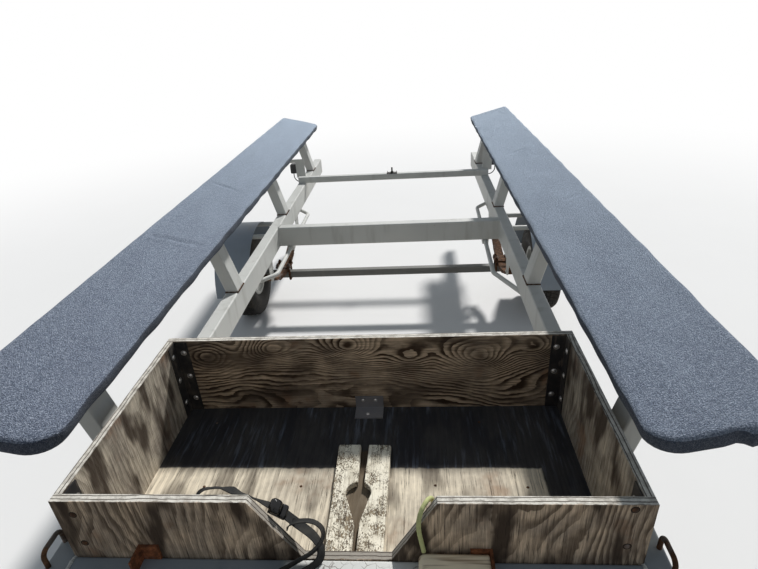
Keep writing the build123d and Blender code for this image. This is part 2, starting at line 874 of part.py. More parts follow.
# Leads that drop from the lamps and turn into the rails
lead_y = lamp_y + lamp_depth / 2
lead_top = lamp_z - lamp_height / 2
lead_x = lamp_x + lead_offset
with BuildPart() as lamp_leads:
    for _, side in sides:
        with BuildLine(cross_section(lead_y)) as lead_path:
            FilletPolyline(
                (side * lead_x, lead_top),
                (side * lead_x, lead_top - lead_drop),
                (side * frame_width / 2, lead_top - lead_drop),
                radius=lead_bend,
            )
        with BuildSketch(Plane(origin=lead_path.line @ 0, z_dir=lead_path.line % 0)):
            Circle(lead_diameter / 2)
        sweep(path=lead_path.line)
save(lamp_leads, "lamp_leads")


# Soft lines over the front panel. A point of a route is x from the notch's upper corner,
# y behind the panel's front face and z above the frame's top.
def soft_line(name, corner_x, route, diameter):
    """Sweep a round line along a route with the widest even bend at each of its points."""
    points = [Vector(corner_x + x, box_front + y, frame_top + z) for x, y, z in route]
    bends = []
    for before, point, after in zip(points, points[1:], points[2:]):
        turn = radians((point - before).get_angle(after - point))
        shorter = min((point - before).length, (after - point).length)
        bends.append(0.45 * shorter / tan(turn / 2))
    print(name, "bends", [round(bend) for bend in bends])
    with BuildPart() as line:
        with BuildLine() as path:
            FilletPolyline(*points, radius=bends)
        with BuildSketch(Plane(origin=path.line @ 0, z_dir=path.line % 0)):
            Circle(diameter / 2)
        sweep(path=path.line)
    length = sum(edge.length for edge in path.edges())
    full_volume = length * pi * diameter**2 / 4
    print(name, "length", round(length), "filled", round(line.part.volume / full_volume, 3))
    save(line, name)


# The rope rises from behind the wood block, crosses the notch's edge and lies on the box floor
rope_route = (
    (-27, -4.8, 34.6), (-31, -5.4, 62), (-34.5, -6.4, 88), (-35.4, -5.8, 111), (-33.4, -2.5, 126),
    (-28.2, 6.6, 136), (-21, 19, 139.7), (-13.8, 31.4, 136), (-8.6, 40.5, 125.4), (-6.5, 44, 108),
    (-5, 45, 84), (-3, 45.6, 56), (0, 45, 26), (4, 45, -6), (11, 46, -36), (23, 48, -59),
    (41, 50, -73), (64, 51, -78.6), (91, 50, -78.6), (120, 48, -78.6), (150, 49, -78.6),
)
soft_line("rope", notch_top_width / 2, rope_route, rope_diameter)

# The strap climbs the panel from the floor, passes its buckle and hangs over the front crossmember
strap_route = (
    (-186, 86, -80.6), (-168, 73, -80.6), (-156, 60, -68), (-144, 47, -40), (-136, 40, -4), (-128, 36, 34),
    (-121, 34, 72), (-114, 34, 108), (-103, 33, 139), (-83, 33, 160), (-58, 34, 166.5),
    (-33, 34, 160), (-10, 35, 146), (11, 36, 130), (30, 37, 112), (48, 38, 92),
    (68, 35, 70), (88, 29, 56), (108, 20, 47), (123, 8, 37), (130.5, -4, 23),
    (126, -13, 11), (116, -23, 5.5), (104, -33, 5), (92, -45, 10), (82, -60, 5),
    (77, -66, -14), (74, -66, -42), (72, -65, -76), (71, -65, -112), (69, -64, -148),
)
soft_line("strap", -notch_top_width / 2, strap_route, strap_core)

# Its tail springs up from below the buckle and hangs beside it
tail_route = (
    (65.5, 31.5, 67.5), (70, 25, 76), (79, 18, 84), (94, 13, 94), (109, 9, 100),
    (123, 6, 99.5), (133, 3.5, 90), (136, 1, 76), (132, -2, 60), (123, -5, 45),
    (110, -10, 32), (92, -15, 23), (73, -22, 16), (56, -31, 12), (43, -43, 12),
    (34, -58, 6), (30, -66, -12), (28, -66, -40), (26, -65, -72), (25, -64, -106),
)
soft_line("strap_tail", -notch_top_width / 2, tail_route, strap_core)

# Cam buckle on the strap, between two points of its route
buckle_start, buckle_end = [Vector(*point) for point in strap_route[14:16]]
buckle_middle = (buckle_start + buckle_end) / 2
buckle_run = buckle_end - buckle_start
buckle_tilt = degrees(atan2(buckle_run.Z, buckle_run.X))
with BuildPart() as strap_buckle:
    with BuildSketch(cross_section(box_front + buckle_middle.Y)):
        with Locations((buckle_middle.X - notch_top_width / 2, frame_top + buckle_middle.Z)):
            SlotOverall(buckle_length, buckle_height, rotation=buckle_tilt)
    extrude(amount=buckle_width / 2, both=True)
    ends = strap_buckle.edges().group_by(Axis.Y)
    fillet(ends[0] + ends[-1], buckle_rounding)
save(strap_buckle, "strap_buckle")

# Coupler: a sleeve over the tongue, a tapered neck and a domed nose over the ball socket
coupler_half = tongue_size / 2 + coupler_wall
coupler_rear = nose + coupler_length
coupler_base = frame_bottom - tongue_size
ball_y = nose + nose_radius
dome_z = coupler_base + socket_depth / 2
neck_top = dome_z + nose_radius - coupler_neck_drop
neck_y = ball_y + coupler_neck_length
with BuildPart() as coupler:
    with BuildSketch(cross_section(coupler_rear)):
        with Locations((0, coupler_base)):
            Rectangle(2 * coupler_half, tongue_size + coupler_wall, align=(Align.CENTER, Align.MIN))
            Rectangle(tongue_size, tongue_size, align=(Align.CENTER, Align.MIN), mode=Mode.SUBTRACT)
    extrude(amount=coupler_rear - tongue_front)
    with BuildSketch(Plane.XY.offset(coupler_base)):
        with BuildLine():
            Polyline(
                (-coupler_half, tongue_front),
                (coupler_half, tongue_front),
                (nose_radius, neck_y),
                (nose_radius, ball_y),
                (-nose_radius, ball_y),
                (-nose_radius, neck_y),
                close=True,
            )
        make_face()
    extrude(amount=neck_top - coupler_base)
    with BuildSketch(Plane.XY.offset(coupler_base)):
        with Locations((0, ball_y)):
            Circle(nose_radius)
    extrude(amount=dome_z - coupler_base)
    with Locations((0, ball_y, dome_z)):
        Sphere(nose_radius, arc_size1=0, arc_size2=90)
    with BuildSketch(Plane.XY.offset(coupler_base)):
        with Locations((0, ball_y)):
            Circle(ball_radius)
    extrude(amount=socket_depth, mode=Mode.SUBTRACT)
save(coupler, "coupler")

# Latch lever on top of the coupler
latch_y = neck_y
with BuildPart() as coupler_latch:
    with BuildSketch(Plane.YZ):
        with BuildLine():
            Polyline(
                (latch_y, neck_top),
                (latch_y + latch_foot, neck_top),
                (latch_y + latch_foot, neck_top + latch_wall),
                (ball_y - latch_wall / 2, neck_top + latch_height),
                (ball_y - latch_wall / 2, neck_top + latch_height - latch_wall / 2),
                (latch_y + latch_wall, neck_top + latch_wall),
                close=True,
            )
        make_face()
    extrude(amount=latch_width / 2, both=True)
save(coupler_latch, "coupler_latch")

# Winch post, with its foot plate on the tongue and a head plate
post_y = rail_front - winch_post_from_front
post_top = frame_bottom + winch_post_height
with BuildPart() as winch_post:
    with BuildSketch(Plane.XY.offset(frame_bottom)):
        with Locations((0, post_y)):
            Rectangle(tongue_size, 2 * winch_post_size)
    extrude(amount=winch_plate)
    with BuildSketch(Plane.XY.offset(frame_bottom)):
        with Locations((0, post_y)):
            tube_profile(winch_post_size, winch_post_size, tube_wall)
    extrude(amount=winch_post_height)
    with BuildSketch(Plane.XY.offset(post_top)):
        with Locations((0, post_y)):
            Rectangle(winch_width, winch_length)
    extrude(amount=winch_plate)
save(winch_post, "winch_post")

# Winch: folded frame, drum and crank
winch_base = post_top + winch_plate
drum_z = winch_base + winch_height - drum_below_top
with BuildPart() as winch_frame:
    with BuildSketch(Plane.XY.offset(winch_base)):
        with Locations((0, post_y)):
            Rectangle(winch_width, winch_length)
    extrude(amount=winch_sheet)
    for _, side in sides:
        with BuildSketch(Plane.YZ.offset(side * winch_width / 2)):
            with Locations((post_y, winch_base)):
                Rectangle(winch_length, winch_height, align=(Align.CENTER, Align.MIN))
            with Locations((post_y, drum_z)):
                Circle(winch_shaft_radius + running_gap, mode=Mode.SUBTRACT)
        extrude(amount=-side * winch_sheet)
    fillet(winch_frame.edges().filter_by(Axis.X).group_by(Axis.Z)[-1], winch_corner)
save(winch_frame, "winch_frame")

drum_half = winch_width / 2 - winch_sheet - drum_side_gap
crank_x = winch_width / 2 + drum_side_gap
drum_steps = (
    # radius, half length
    (winch_shaft_radius, crank_x),
    (drum_radius, drum_half),
    (wound_strap_radius, drum_half - wound_strap_inset),
)
with BuildPart() as winch_drum:
    for radius, half_length in drum_steps:
        with BuildSketch(Plane.YZ):
            with Locations((post_y, drum_z)):
                Circle(radius)
        extrude(amount=half_length, both=True)
    for _, side in sides:
        with BuildSketch(Plane.YZ.offset(side * drum_half)):
            with Locations((post_y, drum_z)):
                Circle(drum_flange_radius)
        extrude(amount=-side * drum_flange_wall)
save(winch_drum, "winch_drum")

with BuildPart() as winch_crank:
    with BuildSketch(Plane.YZ.offset(crank_x)):
        with Locations((post_y - winch_crank_reach / 2, drum_z)):
            SlotOverall(winch_crank_reach + winch_crank_width, winch_crank_width)
    extrude(amount=winch_crank_wall)
    with BuildSketch(Plane.YZ.offset(crank_x + winch_crank_wall)):
        with Locations((post_y - winch_crank_reach, drum_z)):
            Circle(crank_handle_radius)
    extrude(amount=crank_handle_length)
    fillet(winch_crank.faces().sort_by(Axis.X)[-1].edges(), handle_rounding)
save(winch_crank, "winch_crank")

# V-shaped rubber bow stop on the rear face of the winch post
bow_y = post_y + winch_post_size / 2
bow_top = post_top - bow_stop_from_top
with BuildPart() as bow_stop:
    with BuildSketch(Plane.XY.offset(bow_top)):
        with BuildLine():
            Polyline(
                (-bow_stop_width / 2, bow_y),
                (bow_stop_width / 2, bow_y),
                (bow_stop_width / 2, bow_y + bow_stop_depth),
                (bow_stop_width / 2 - bow_stop_lip, bow_y + bow_stop_depth),
                (0, bow_y + bow_stop_web),
                (-bow_stop_width / 2 + bow_stop_lip, bow_y + bow_stop_depth),
                (-bow_stop_width / 2, bow_y + bow_stop_depth),
                close=True,
            )
        make_face()
    extrude(amount=-bow_stop_height)
save(bow_stop, "bow_stop")

# Jack mount: a plate on the tongue's side with the swivel boss
mount_face = -tongue_size / 2
with BuildPart() as jack_mount:
    with BuildSketch(Plane.YZ.offset(mount_face)):
        with Locations((jack_y, tongue_z)):
            RectangleRounded(jack_mount_length, tongue_size, jack_mount_corner)
    extrude(amount=-jack_mount_wall)
    with BuildSketch(Plane.YZ.offset(mount_face - jack_mount_wall)):
        with Locations((jack_y, jack_pivot_height)):
            Circle(jack_boss_radius)
    extrude(amount=-jack_boss_length)
save(jack_mount, "jack_mount")

# Jack tube, with its swivel bracket, gear head and crank
tube_radius = jack_tube_diameter / 2
tube_length = jack_tube_top - jack_tube_bottom
bracket_start = mount_face - jack_mount_wall - jack_boss_length - running_gap
with BuildPart() as jack_tube:
    with BuildSketch(Plane.XY.offset(jack_tube_bottom)):
        with Locations((jack_x, jack_y)):
            Circle(tube_radius)
    extrude(amount=tube_length)
    with BuildSketch(Plane.YZ.offset(bracket_start)):
        with Locations((jack_y, jack_pivot_height)):
            Circle(jack_boss_radius)
    extrude(amount=jack_x - bracket_start)
    with BuildSketch(Plane.XY.offset(jack_tube_bottom)):
        with Locations((jack_x, jack_y)):
            Circle(tube_radius - jack_tube_wall)
    extrude(amount=tube_length - jack_tube_wall, mode=Mode.SUBTRACT)
    with BuildSketch(Plane.XY.offset(jack_tube_top)):
        with Locations((jack_x, jack_y)):
            Circle(tube_radius + jack_head_overhang)
    extrude(amount=jack_head_height)
save(jack_tube, "jack_tube")

crank_base = jack_tube_top + jack_head_height
arm_base = crank_base + jack_shaft_height - jack_crank_wall
with BuildPart() as jack_crank:
    with BuildSketch(Plane.XY.offset(crank_base)):
        with Locations((jack_x, jack_y)):
            Circle(jack_shaft_radius)
    extrude(amount=jack_shaft_height)
    with BuildSketch(Plane.XY.offset(arm_base)):
        with Locations((jack_x - jack_crank_reach / 2, jack_y)):
            SlotOverall(jack_crank_reach + jack_crank_width, jack_crank_width)
    extrude(amount=jack_crank_wall)
    with BuildSketch(Plane.XY.offset(arm_base + jack_crank_wall)):
        with Locations((jack_x - jack_crank_reach, jack_y)):
            Circle(jack_crank_handle_radius)
    extrude(amount=jack_crank_handle_length)
    fillet(jack_crank.faces().sort_by(Axis.Z)[-1].edges(), handle_rounding)
save(jack_crank, "jack_crank")

# Inner leg that slides in the jack tube
caster_radius = caster_wheel_diameter / 2
fork_top = caster_wheel_diameter + caster_crown_gap
leg_radius = jack_leg_diameter / 2
with BuildPart() as jack_leg:
    with BuildSketch(Plane.XY.offset(fork_top)):
        with Locations((jack_x, jack_y)):
            Circle(leg_radius)
    extrude(amount=jack_leg_top - fork_top)
save(jack_leg, "jack_leg")

# Caster fork: a swivel disc, a crown, two cheeks and the axle bolt
caster_y = jack_y - caster_trail
swivel_top = fork_top - running_gap
crown_z = swivel_top - caster_crown_height
cheek_offset = caster_wheel_width / 2 + caster_side_gap
crown_width = 2 * (cheek_offset + caster_fork_wall)
with BuildPart() as caster_fork:
    with BuildSketch(Plane.XY.offset(swivel_top)):
        with Locations((jack_x, jack_y)):
            Circle(leg_radius + caster_fork_wall)
    extrude(amount=-caster_crown_height)
    with BuildSketch(Plane.XY.offset(crown_z)):
        with Locations((jack_x, jack_y - caster_trail / 2)):
            Rectangle(crown_width, 2 * leg_radius + caster_trail)
    extrude(amount=-caster_fork_wall)
    for sign in (-1, 1):
        with BuildSketch(Plane.YZ.offset(jack_x + sign * cheek_offset)):
            with BuildLine():
                Polyline(
                    (jack_y + leg_radius, crown_z),
                    (caster_y - leg_radius, crown_z),
                    (caster_y - caster_cheek_radius, caster_radius),
                    (caster_y + caster_cheek_radius, caster_radius),
                    close=True,
                )
            make_face()
            with Locations((caster_y, caster_radius)):
                Circle(caster_cheek_radius)
        extrude(amount=sign * caster_fork_wall)
    with BuildSketch(Plane.YZ.offset(jack_x)):
        with Locations((caster_y, caster_radius)):
            Circle(caster_bolt_radius)
    extrude(amount=crown_width / 2 + caster_bolt_radius, both=True)
save(caster_fork, "caster_fork")

with BuildPart() as caster_wheel:
    with BuildSketch(Plane.YZ.offset(jack_x)):
        with Locations((caster_y, caster_radius)):
            Circle(caster_radius)
            Circle(caster_bolt_radius + running_gap, mode=Mode.SUBTRACT)
    extrude(amount=caster_wheel_width / 2, both=True)
    rim_edges = caster_wheel.edges().filter_by(GeomType.CIRCLE).group_by(SortBy.RADIUS)[-1]
    fillet(rim_edges, handle_rounding)
save(caster_wheel, "caster_wheel")
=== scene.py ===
# %% [markdown]
# A single-axle boat trailer, seen from above its front end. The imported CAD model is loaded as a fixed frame:
# every steel, wood and rubber part is already in its place and at its real size, in metres. This script gives
# each of them a finish, and adds what a drawing leaves out: carpet, tread, welds, bolts, lenses and wear.

# %% Load the frame
import json
from math import cos, pi, radians, sin

import bmesh
import bpy
import numpy as np
from mathutils import Matrix, Vector


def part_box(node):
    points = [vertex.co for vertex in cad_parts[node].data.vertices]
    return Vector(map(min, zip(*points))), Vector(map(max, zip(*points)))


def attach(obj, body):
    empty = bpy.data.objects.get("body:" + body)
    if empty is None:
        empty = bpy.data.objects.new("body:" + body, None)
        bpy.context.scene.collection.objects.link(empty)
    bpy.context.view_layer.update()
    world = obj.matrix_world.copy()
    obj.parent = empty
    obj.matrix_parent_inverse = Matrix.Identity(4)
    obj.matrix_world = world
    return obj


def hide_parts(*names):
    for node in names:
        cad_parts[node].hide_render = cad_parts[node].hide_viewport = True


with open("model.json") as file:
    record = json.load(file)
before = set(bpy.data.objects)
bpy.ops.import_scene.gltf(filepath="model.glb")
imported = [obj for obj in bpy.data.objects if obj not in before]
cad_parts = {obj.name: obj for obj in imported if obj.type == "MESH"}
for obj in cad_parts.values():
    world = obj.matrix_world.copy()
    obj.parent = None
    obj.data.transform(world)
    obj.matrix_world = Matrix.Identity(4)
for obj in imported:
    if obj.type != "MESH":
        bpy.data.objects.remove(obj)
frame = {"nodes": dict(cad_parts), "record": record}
cad = frame["nodes"]
mounts = {mount["name"]: mount for mount in frame["record"]["mounts"]}
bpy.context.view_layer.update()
sides = (("left", -1), ("right", 1))
frame_bottom, frame_top = (corner.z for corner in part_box("rail_left"))

# %% [markdown]
# Four small helpers come back all through the script. They put an object into the scene, stand something along
# three given axes, read rows of numbers from a mesh, and turn an object with modifiers into a plain mesh.

# %% Small helpers
def put(name, data):
    """Adds an object to the scene."""
    item = bpy.data.objects.new(name, data)
    bpy.context.scene.collection.objects.link(item)
    return item


def stand(place, x_axis, y_axis, z_axis):
    """Matrix that moves the origin to a place and the axes to three given directions."""
    return Matrix.Translation(place) @ Matrix((x_axis, y_axis, z_axis)).transposed().to_4x4()


def rows_of(items, field):
    """Three numbers for each item, as the rows of an array."""
    values = np.zeros(len(items) * 3)
    items.foreach_get(field, values)
    return values.reshape(-1, 3)


def finished_mesh(item):
    """The mesh that an object's modifiers make of it. The object itself goes."""
    bpy.context.view_layer.update()
    mesh = bpy.data.meshes.new_from_object(item.evaluated_get(bpy.context.evaluated_depsgraph_get()))
    bpy.data.objects.remove(item)
    return mesh


# %% [markdown]
# The camera stands where the photographer stood: in front of the box, at eye height, a little to the right.
# Its axes come from the vanishing points of the rails, the crossmembers and the posts, and its focal length
# from the angle between them. A wide lens like this one makes the near ends of the bunks look huge, so the
# place of the camera matters more than anything else for likeness.

# %% Camera
PHOTO_WIDTH = 758
FOCAL_PIXELS = 520
SENSOR_WIDTH = 36.0
camera_place = Vector((0.154, -1.490, 1.520))
camera_right = Vector((0.9967, 0.0561, -0.0593)).normalized()
camera_back = camera_right.cross(Vector((0.0266, 0.4634, 0.8858))).normalized()
camera_up = camera_back.cross(camera_right)

lens = bpy.data.cameras.new("camera")
lens.sensor_width = SENSOR_WIDTH
lens.lens = SENSOR_WIDTH * FOCAL_PIXELS / PHOTO_WIDTH
camera = put("camera", lens)
camera.matrix_world = stand(camera_place, camera_right, camera_up, camera_back)
bpy.context.scene.camera = camera
print("lens", round(lens.lens, 2), "mm")

# %% [markdown]
# Shader maths is easier to read as arithmetic than as a chain of nodes. The small class below wraps the output
# of a node, so that a plus sign between two of them adds a Math node. Colours never go through a Math node,
# which would turn them grey: they are mixed by a Mix node instead.

# %% A socket that understands arithmetic
class Socket:
    """An output of a node."""

    def __init__(self, graph, output):
        self.graph = graph
        self.output = output

    def __add__(self, other):
        return self.graph.math("ADD", self, other)

    def __sub__(self, other):
        return self.graph.math("SUBTRACT", self, other)

    def __rsub__(self, other):
        return self.graph.math("SUBTRACT", other, self)

    def __mul__(self, other):
        return self.graph.math("MULTIPLY", self, other)

    def __truediv__(self, other):
        return self.graph.math("DIVIDE", self, other)

    def __pow__(self, other):
        return self.graph.math("POWER", self, other)

    __radd__ = __add__
    __rmul__ = __mul__


class Graph:
    """A node tree, and the one method that adds any node to it."""

    def __init__(self, tree):
        self.tree = tree

    def node(self, kind, sockets=None, output=0, stops=None, **settings):
        made = self.tree.nodes.new(kind)
        for key, value in settings.items():
            setattr(made, key, value)
        if stops:
            elements = made.color_ramp.elements
            elements[0].position, elements[0].color = stops[0]
            elements[1].position, elements[1].color = stops[-1]
            for place, colour in stops[1:-1]:
                elements.new(place).color = colour
        for key, value in (sockets or {}).items():
            if isinstance(value, Socket):
                self.tree.links.new(value.output, made.inputs[key])
            else:
                made.inputs[key].default_value = value
        return Socket(self, made.outputs[output] if made.outputs else None)

    def math(self, operation, first, second=0.0):
        return self.node("ShaderNodeMath", {0: first, 1: second}, operation=operation)

    def absolute(self, value):
        return self.math("ABSOLUTE", value)

    def larger(self, first, second):
        return self.math("MAXIMUM", first, second)

    def ray(self, kind):
        return self.node("ShaderNodeLightPath", output=kind)

    def mixed(self, factor, first, second):
        """Colour between two colours."""
        first = first if isinstance(first, Socket) else rgba(first)
        second = second if isinstance(second, Socket) else rgba(second)
        return self.node("ShaderNodeMix", {0: factor, 6: first, 7: second}, 2, data_type="RGBA")

    def layered(self, base, *layers):
        """Base colour with layers over it, each a mask and a colour."""
        for mask, colour in layers:
            base = self.mixed(mask, base, colour)
        return base


def rgba(colour):
    return (*colour, 1.0)


# %% [markdown]
# Every finish starts from the same handful of patterns: noise in real metres, stretched noise for grain and
# brushing, and a soft step that turns a pattern into a mask. They read Object coordinates, which here are the
# trailer's own metres, because every piece keeps its origin at zero. So a scale of 300 means a few millimetres.

# %% A finish under construction
class Finish(Graph):
    """A material that is being put together."""

    def __init__(self, name):
        self.material = bpy.data.materials.new(name)
        self.material.use_nodes = True
        super().__init__(self.material.node_tree)
        self.tree.nodes.clear()
        self.place = self.node("ShaderNodeTexCoord", output="Object")

    def stretched(self, x, y, z):
        return self.node("ShaderNodeMapping", {"Vector": self.place, "Scale": (x, y, z)})

    def noise(self, scale, detail=3.0, roughness=0.55, where=None):
        sockets = {"Vector": where or self.place, "Scale": scale, "Detail": detail, "Roughness": roughness}
        return self.node("ShaderNodeTexNoise", sockets)

    def fibres(self, x, y, z, detail=3.0, roughness=0.55):
        """Noise with its own scale along each axis: the lowest one is the way that the fibres run."""
        return self.noise(1.0, detail, roughness, self.stretched(x, y, z))

    def cells(self, scale, output=0):
        return self.node("ShaderNodeTexVoronoi", {"Vector": self.place, "Scale": scale}, output)

    def step(self, value, low, high):
        """0 below low, 1 above high, and smooth between."""
        sockets = {0: value, 1: low, 2: high, 3: 0.0, 4: 1.0}
        return self.node("ShaderNodeMapRange", sockets, interpolation_type="SMOOTHSTEP")

    def patches(self, low, high, scale, detail=3.0, roughness=0.55):
        """Mask of soft patches: 1 where a noise lies above high."""
        return self.step(self.noise(scale, detail, roughness), low, high)

    def axis(self, index):
        return self.node("ShaderNodeSeparateXYZ", {0: self.place}, index)

    def facing_up(self):
        """1 on faces that look up, sloping ones too."""
        normal = self.node("ShaderNodeNewGeometry", output="Normal")
        return self.step(self.node("ShaderNodeSeparateXYZ", {0: normal}, 2), 0.35, 0.45)

    def shader(self, colour, roughness, height=None, depth=0.001, metallic=0.0, **fixed):
        """Principled shader. height is a pattern from 0 to 1 that stands depth metres proud."""
        sockets = {"Base Color": colour if isinstance(colour, Socket) else rgba(colour)}
        sockets["Roughness"] = roughness
        sockets["Metallic"] = metallic
        if height is not None:
            bump = {"Height": height, "Strength": 1.0, "Distance": depth}
            sockets["Normal"] = self.node("ShaderNodeBump", bump)
        for key, value in fixed.items():
            sockets[key.replace("_", " ").title().replace("Ior", "IOR")] = value
        return self.node("ShaderNodeBsdfPrincipled", sockets)

    def close(self, surface):
        self.node("ShaderNodeOutputMaterial", {"Surface": surface})
        return self.material

    def done(self, *look, **fixed):
        """Closes the material with one Principled shader."""
        return self.close(self.shader(*look, **fixed))


# %% [markdown]
# The frame is mild steel with old light-grey paint. Up close such paint is never one grey: it chalks in large
# soft patches, gathers dirt in streaks, and shows rust where it was chipped. Three sizes of noise do this. The
# rust mask is shared by colour, roughness and bump, so that a rust spot is also rougher and slightly raised.
# Three things are local, and come first: rust that creeps up a post from its weld, painted shade on top of the
# frame's front end, and fine cracks in the paint of the strip in front of the notch between the two halves of
# the front panel. The painted shade leaves that strip out.

# %% Marks and painted shade on the paint
PAINT = (0.56, 0.57, 0.55)
PAINT_CHALK = (0.67, 0.675, 0.65)
PAINT_DIRT = (0.25, 0.24, 0.21)
PAINTED_SHADE = (0.125, 0.165, 0.215)
RUST = (0.17, 0.080, 0.036)
RUST_DARK = (0.060, 0.032, 0.020)
NOTCH_STRIP_X = 0.02
CRACK_SCALE = 46.0
PAINTED_SHADE_BACK_Y = -0.79


def from_notch_strip(finish):
    """Distance sideways from the middle of the strip in front of the notch."""
    return finish.absolute(finish.axis(0) - NOTCH_STRIP_X)


def rusty_foot(finish):
    height = finish.axis(2) + finish.noise(60, 4) * 0.012
    return 1.0 - finish.step(height, frame_top + 0.006, frame_top + 0.016)


def crazing(finish):
    bend = finish.noise(30, 3) * 0.02
    bent = finish.node("ShaderNodeVectorMath", {0: finish.place, 1: bend}, operation="ADD")
    sockets = {"Vector": bent, "Scale": CRACK_SCALE}
    gap = finish.node("ShaderNodeTexVoronoi", sockets, feature="DISTANCE_TO_EDGE")
    crack = (1.0 - finish.step(gap, 0.012, 0.045)) * finish.patches(0.42, 0.60, 14, 3)
    return crack * (1.0 - finish.step(from_notch_strip(finish), 0.13, 0.16))


# Painted shade: darker, bluer paint on top of the frame's front end, except in the strip in front of the notch.
def painted_front_shade(finish):
    near_end = 1.0 - finish.step(finish.axis(1), PAINTED_SHADE_BACK_Y - 0.04, PAINTED_SHADE_BACK_Y)
    outside_notch_strip = finish.step(from_notch_strip(finish), 0.135, 0.150)
    return near_end * outside_notch_strip * finish.step(finish.axis(2), frame_top - 0.004, frame_top - 0.002)


# %% [markdown]
# One function makes every paint of the trailer. The frame's greys differ a little in tone, the fenders are
# painted darker and bluer and the axle darker, both as painted shade, and each takes the local marks and the
# painted shade that it needs, at a strength of its own.

# %% Grey paint
def grey_paint(name, tone=(PAINT, PAINT_CHALK), chips=0.72, foot=0.0, crazed=0.0, front_shade=0.0):
    """tone is the paint and its chalk, chips is how rare they are, and the rest are strengths of marks and
    painted shade.
    """
    finish = Finish(name)
    chalk = finish.patches(0.35, 0.7, 3.0, 4)
    streaks = finish.step(finish.fibres(22, 22, 3, 5), 0.52, 0.78)
    rust = finish.noise(150, 5, 0.7) * 0.6 + finish.noise(9, 3) * 0.5
    rust = finish.step(rust, chips, chips + 0.03)
    if foot:
        rust = finish.larger(rust, rusty_foot(finish) * foot)
    paint = finish.mixed(chalk * 0.6, *tone)
    paint = finish.mixed(streaks * 0.35, paint, PAINT_DIRT)
    if crazed:
        paint = finish.mixed(crazing(finish) * crazed, paint, RUST_DARK)
    if front_shade:
        paint = finish.mixed(painted_front_shade(finish) * front_shade, paint, PAINTED_SHADE)
    colour = finish.mixed(rust, paint, finish.mixed(finish.noise(90, 4), RUST, RUST_DARK))
    peel = finish.noise(240, 2) * 0.25 + rust * finish.noise(500, 3)
    return finish.done(colour, 0.42 + chalk * 0.12 + rust * 0.35, peel, 0.0007, specular_ior_level=0.25)


paint = grey_paint("grey_paint")
# The rails and the front crossmember take the painted shade on top of their front ends.
rail_paint = grey_paint("rail_paint", front_shade=0.6)
post_paint = grey_paint("post_paint", foot=0.45)
# The fenders' dark blue-grey is painted shade over the frame's light grey paint.
fender_paint = grey_paint("fender_paint", ((0.23, 0.275, 0.33), (0.31, 0.35, 0.40)), chips=0.76)
# The axle's dark grey is painted shade over the frame's light grey paint.
axle_paint = grey_paint("axle_paint", ((0.16, 0.16, 0.15), (0.24, 0.24, 0.225)))
crossmember_paint = grey_paint(
    "crossmember_paint", ((0.60, 0.61, 0.59), (0.72, 0.72, 0.69)), crazed=0.7, front_shade=0.75
)
print("paints", [m.name for m in (paint, rail_paint, post_paint, fender_paint, axle_paint, crossmember_paint)])

# %% [markdown]
# Bare steel parts rust all over, while bolts and hardware keep a dull zinc. Rust is mottled at every size, so
# its colour runs through a ramp from near-black to orange, and the same noise lifts it as a crust.

# %% Steel without paint
def rusty_steel(name, orange, bare=0.0):
    """orange is the brightest tone of the rust. bare is how much worn metal shows through."""
    finish = Finish(name)
    crust = finish.noise(55, 8, 0.68)
    stops = [(0.30, rgba((0.024, 0.015, 0.011)))]
    for at, share in ((0.50, 0.30), (0.64, 0.65), (0.80, 1.0)):
        stops.append((at, rgba(tuple(share * c for c in orange))))
    colour = finish.node("ShaderNodeValToRGB", {"Fac": crust}, stops=stops)
    worn = finish.patches(0.62 - bare, 0.72 - bare, 14, 4)
    colour = finish.mixed(worn * 0.5, colour, (0.22, 0.21, 0.20))
    return finish.done(colour, 0.88 - worn * 0.3, crust, 0.0016, specular_ior_level=0.2)


def plated_steel(name, colour=(0.42, 0.42, 0.42), tarnish=0.5, metal=0.75):
    finish = Finish(name)
    cloud = finish.noise(35, 5, 0.6)
    rust = finish.patches(0.66, 0.72, 120, 5, 0.7)
    dull = (finish.step(cloud, 0.35, 0.75) * tarnish, (0.27, 0.26, 0.24))
    shine = metal - rust * metal * 0.95
    colour = finish.layered(colour, dull, (rust * 0.7, RUST))
    return finish.done(colour, 0.38 + cloud * 0.25 + rust * 0.3, cloud, 0.0004, metallic=shine)


def black_steel(name):
    finish = Finish(name)
    dust = finish.noise(25, 5, 0.65)
    scuff = finish.step(finish.fibres(60, 60, 12, 5), 0.6, 0.7)
    colour = finish.mixed(finish.step(dust, 0.4, 0.75) * 0.7, (0.018, 0.018, 0.020), (0.085, 0.075, 0.062))
    colour = finish.mixed(scuff * 0.5, colour, (0.16, 0.13, 0.11))
    return finish.done(colour, 0.45 + dust * 0.3, dust, 0.0006, specular_ior_level=0.25)


rust_coat = rusty_steel("rusty_steel", (0.46, 0.17, 0.075))
worn_rust = rusty_steel("worn_rusty_steel", (0.25, 0.125, 0.065), bare=0.06)
# A near-black steel, used only for the painted shade rings round the panel bolts.
old_steel = rusty_steel("old_steel", (0.050, 0.034, 0.024))
zinc = plated_steel("plated_steel")
aluminium = plated_steel("aluminium", (0.19, 0.19, 0.205), 0.3, 0.35)
black_coat = black_steel("black_steel")
print("metals", [m.name for m in (rust_coat, worn_rust, old_steel, zinc, aluminium, black_coat)])

# %% [markdown]
# Plywood is peeled from a log, so its growth rings are cut almost flat. They run in lines along the sheet, and
# where the knife passed a bump in the trunk they close round it like the contours of a hill. That is how they
# are made here: a height is the distance across the grain, plus a slow noise, plus a hill for each such eye,
# all counted in rings, and its fraction gives the line of each ring. The rear wall states where its eyes are.

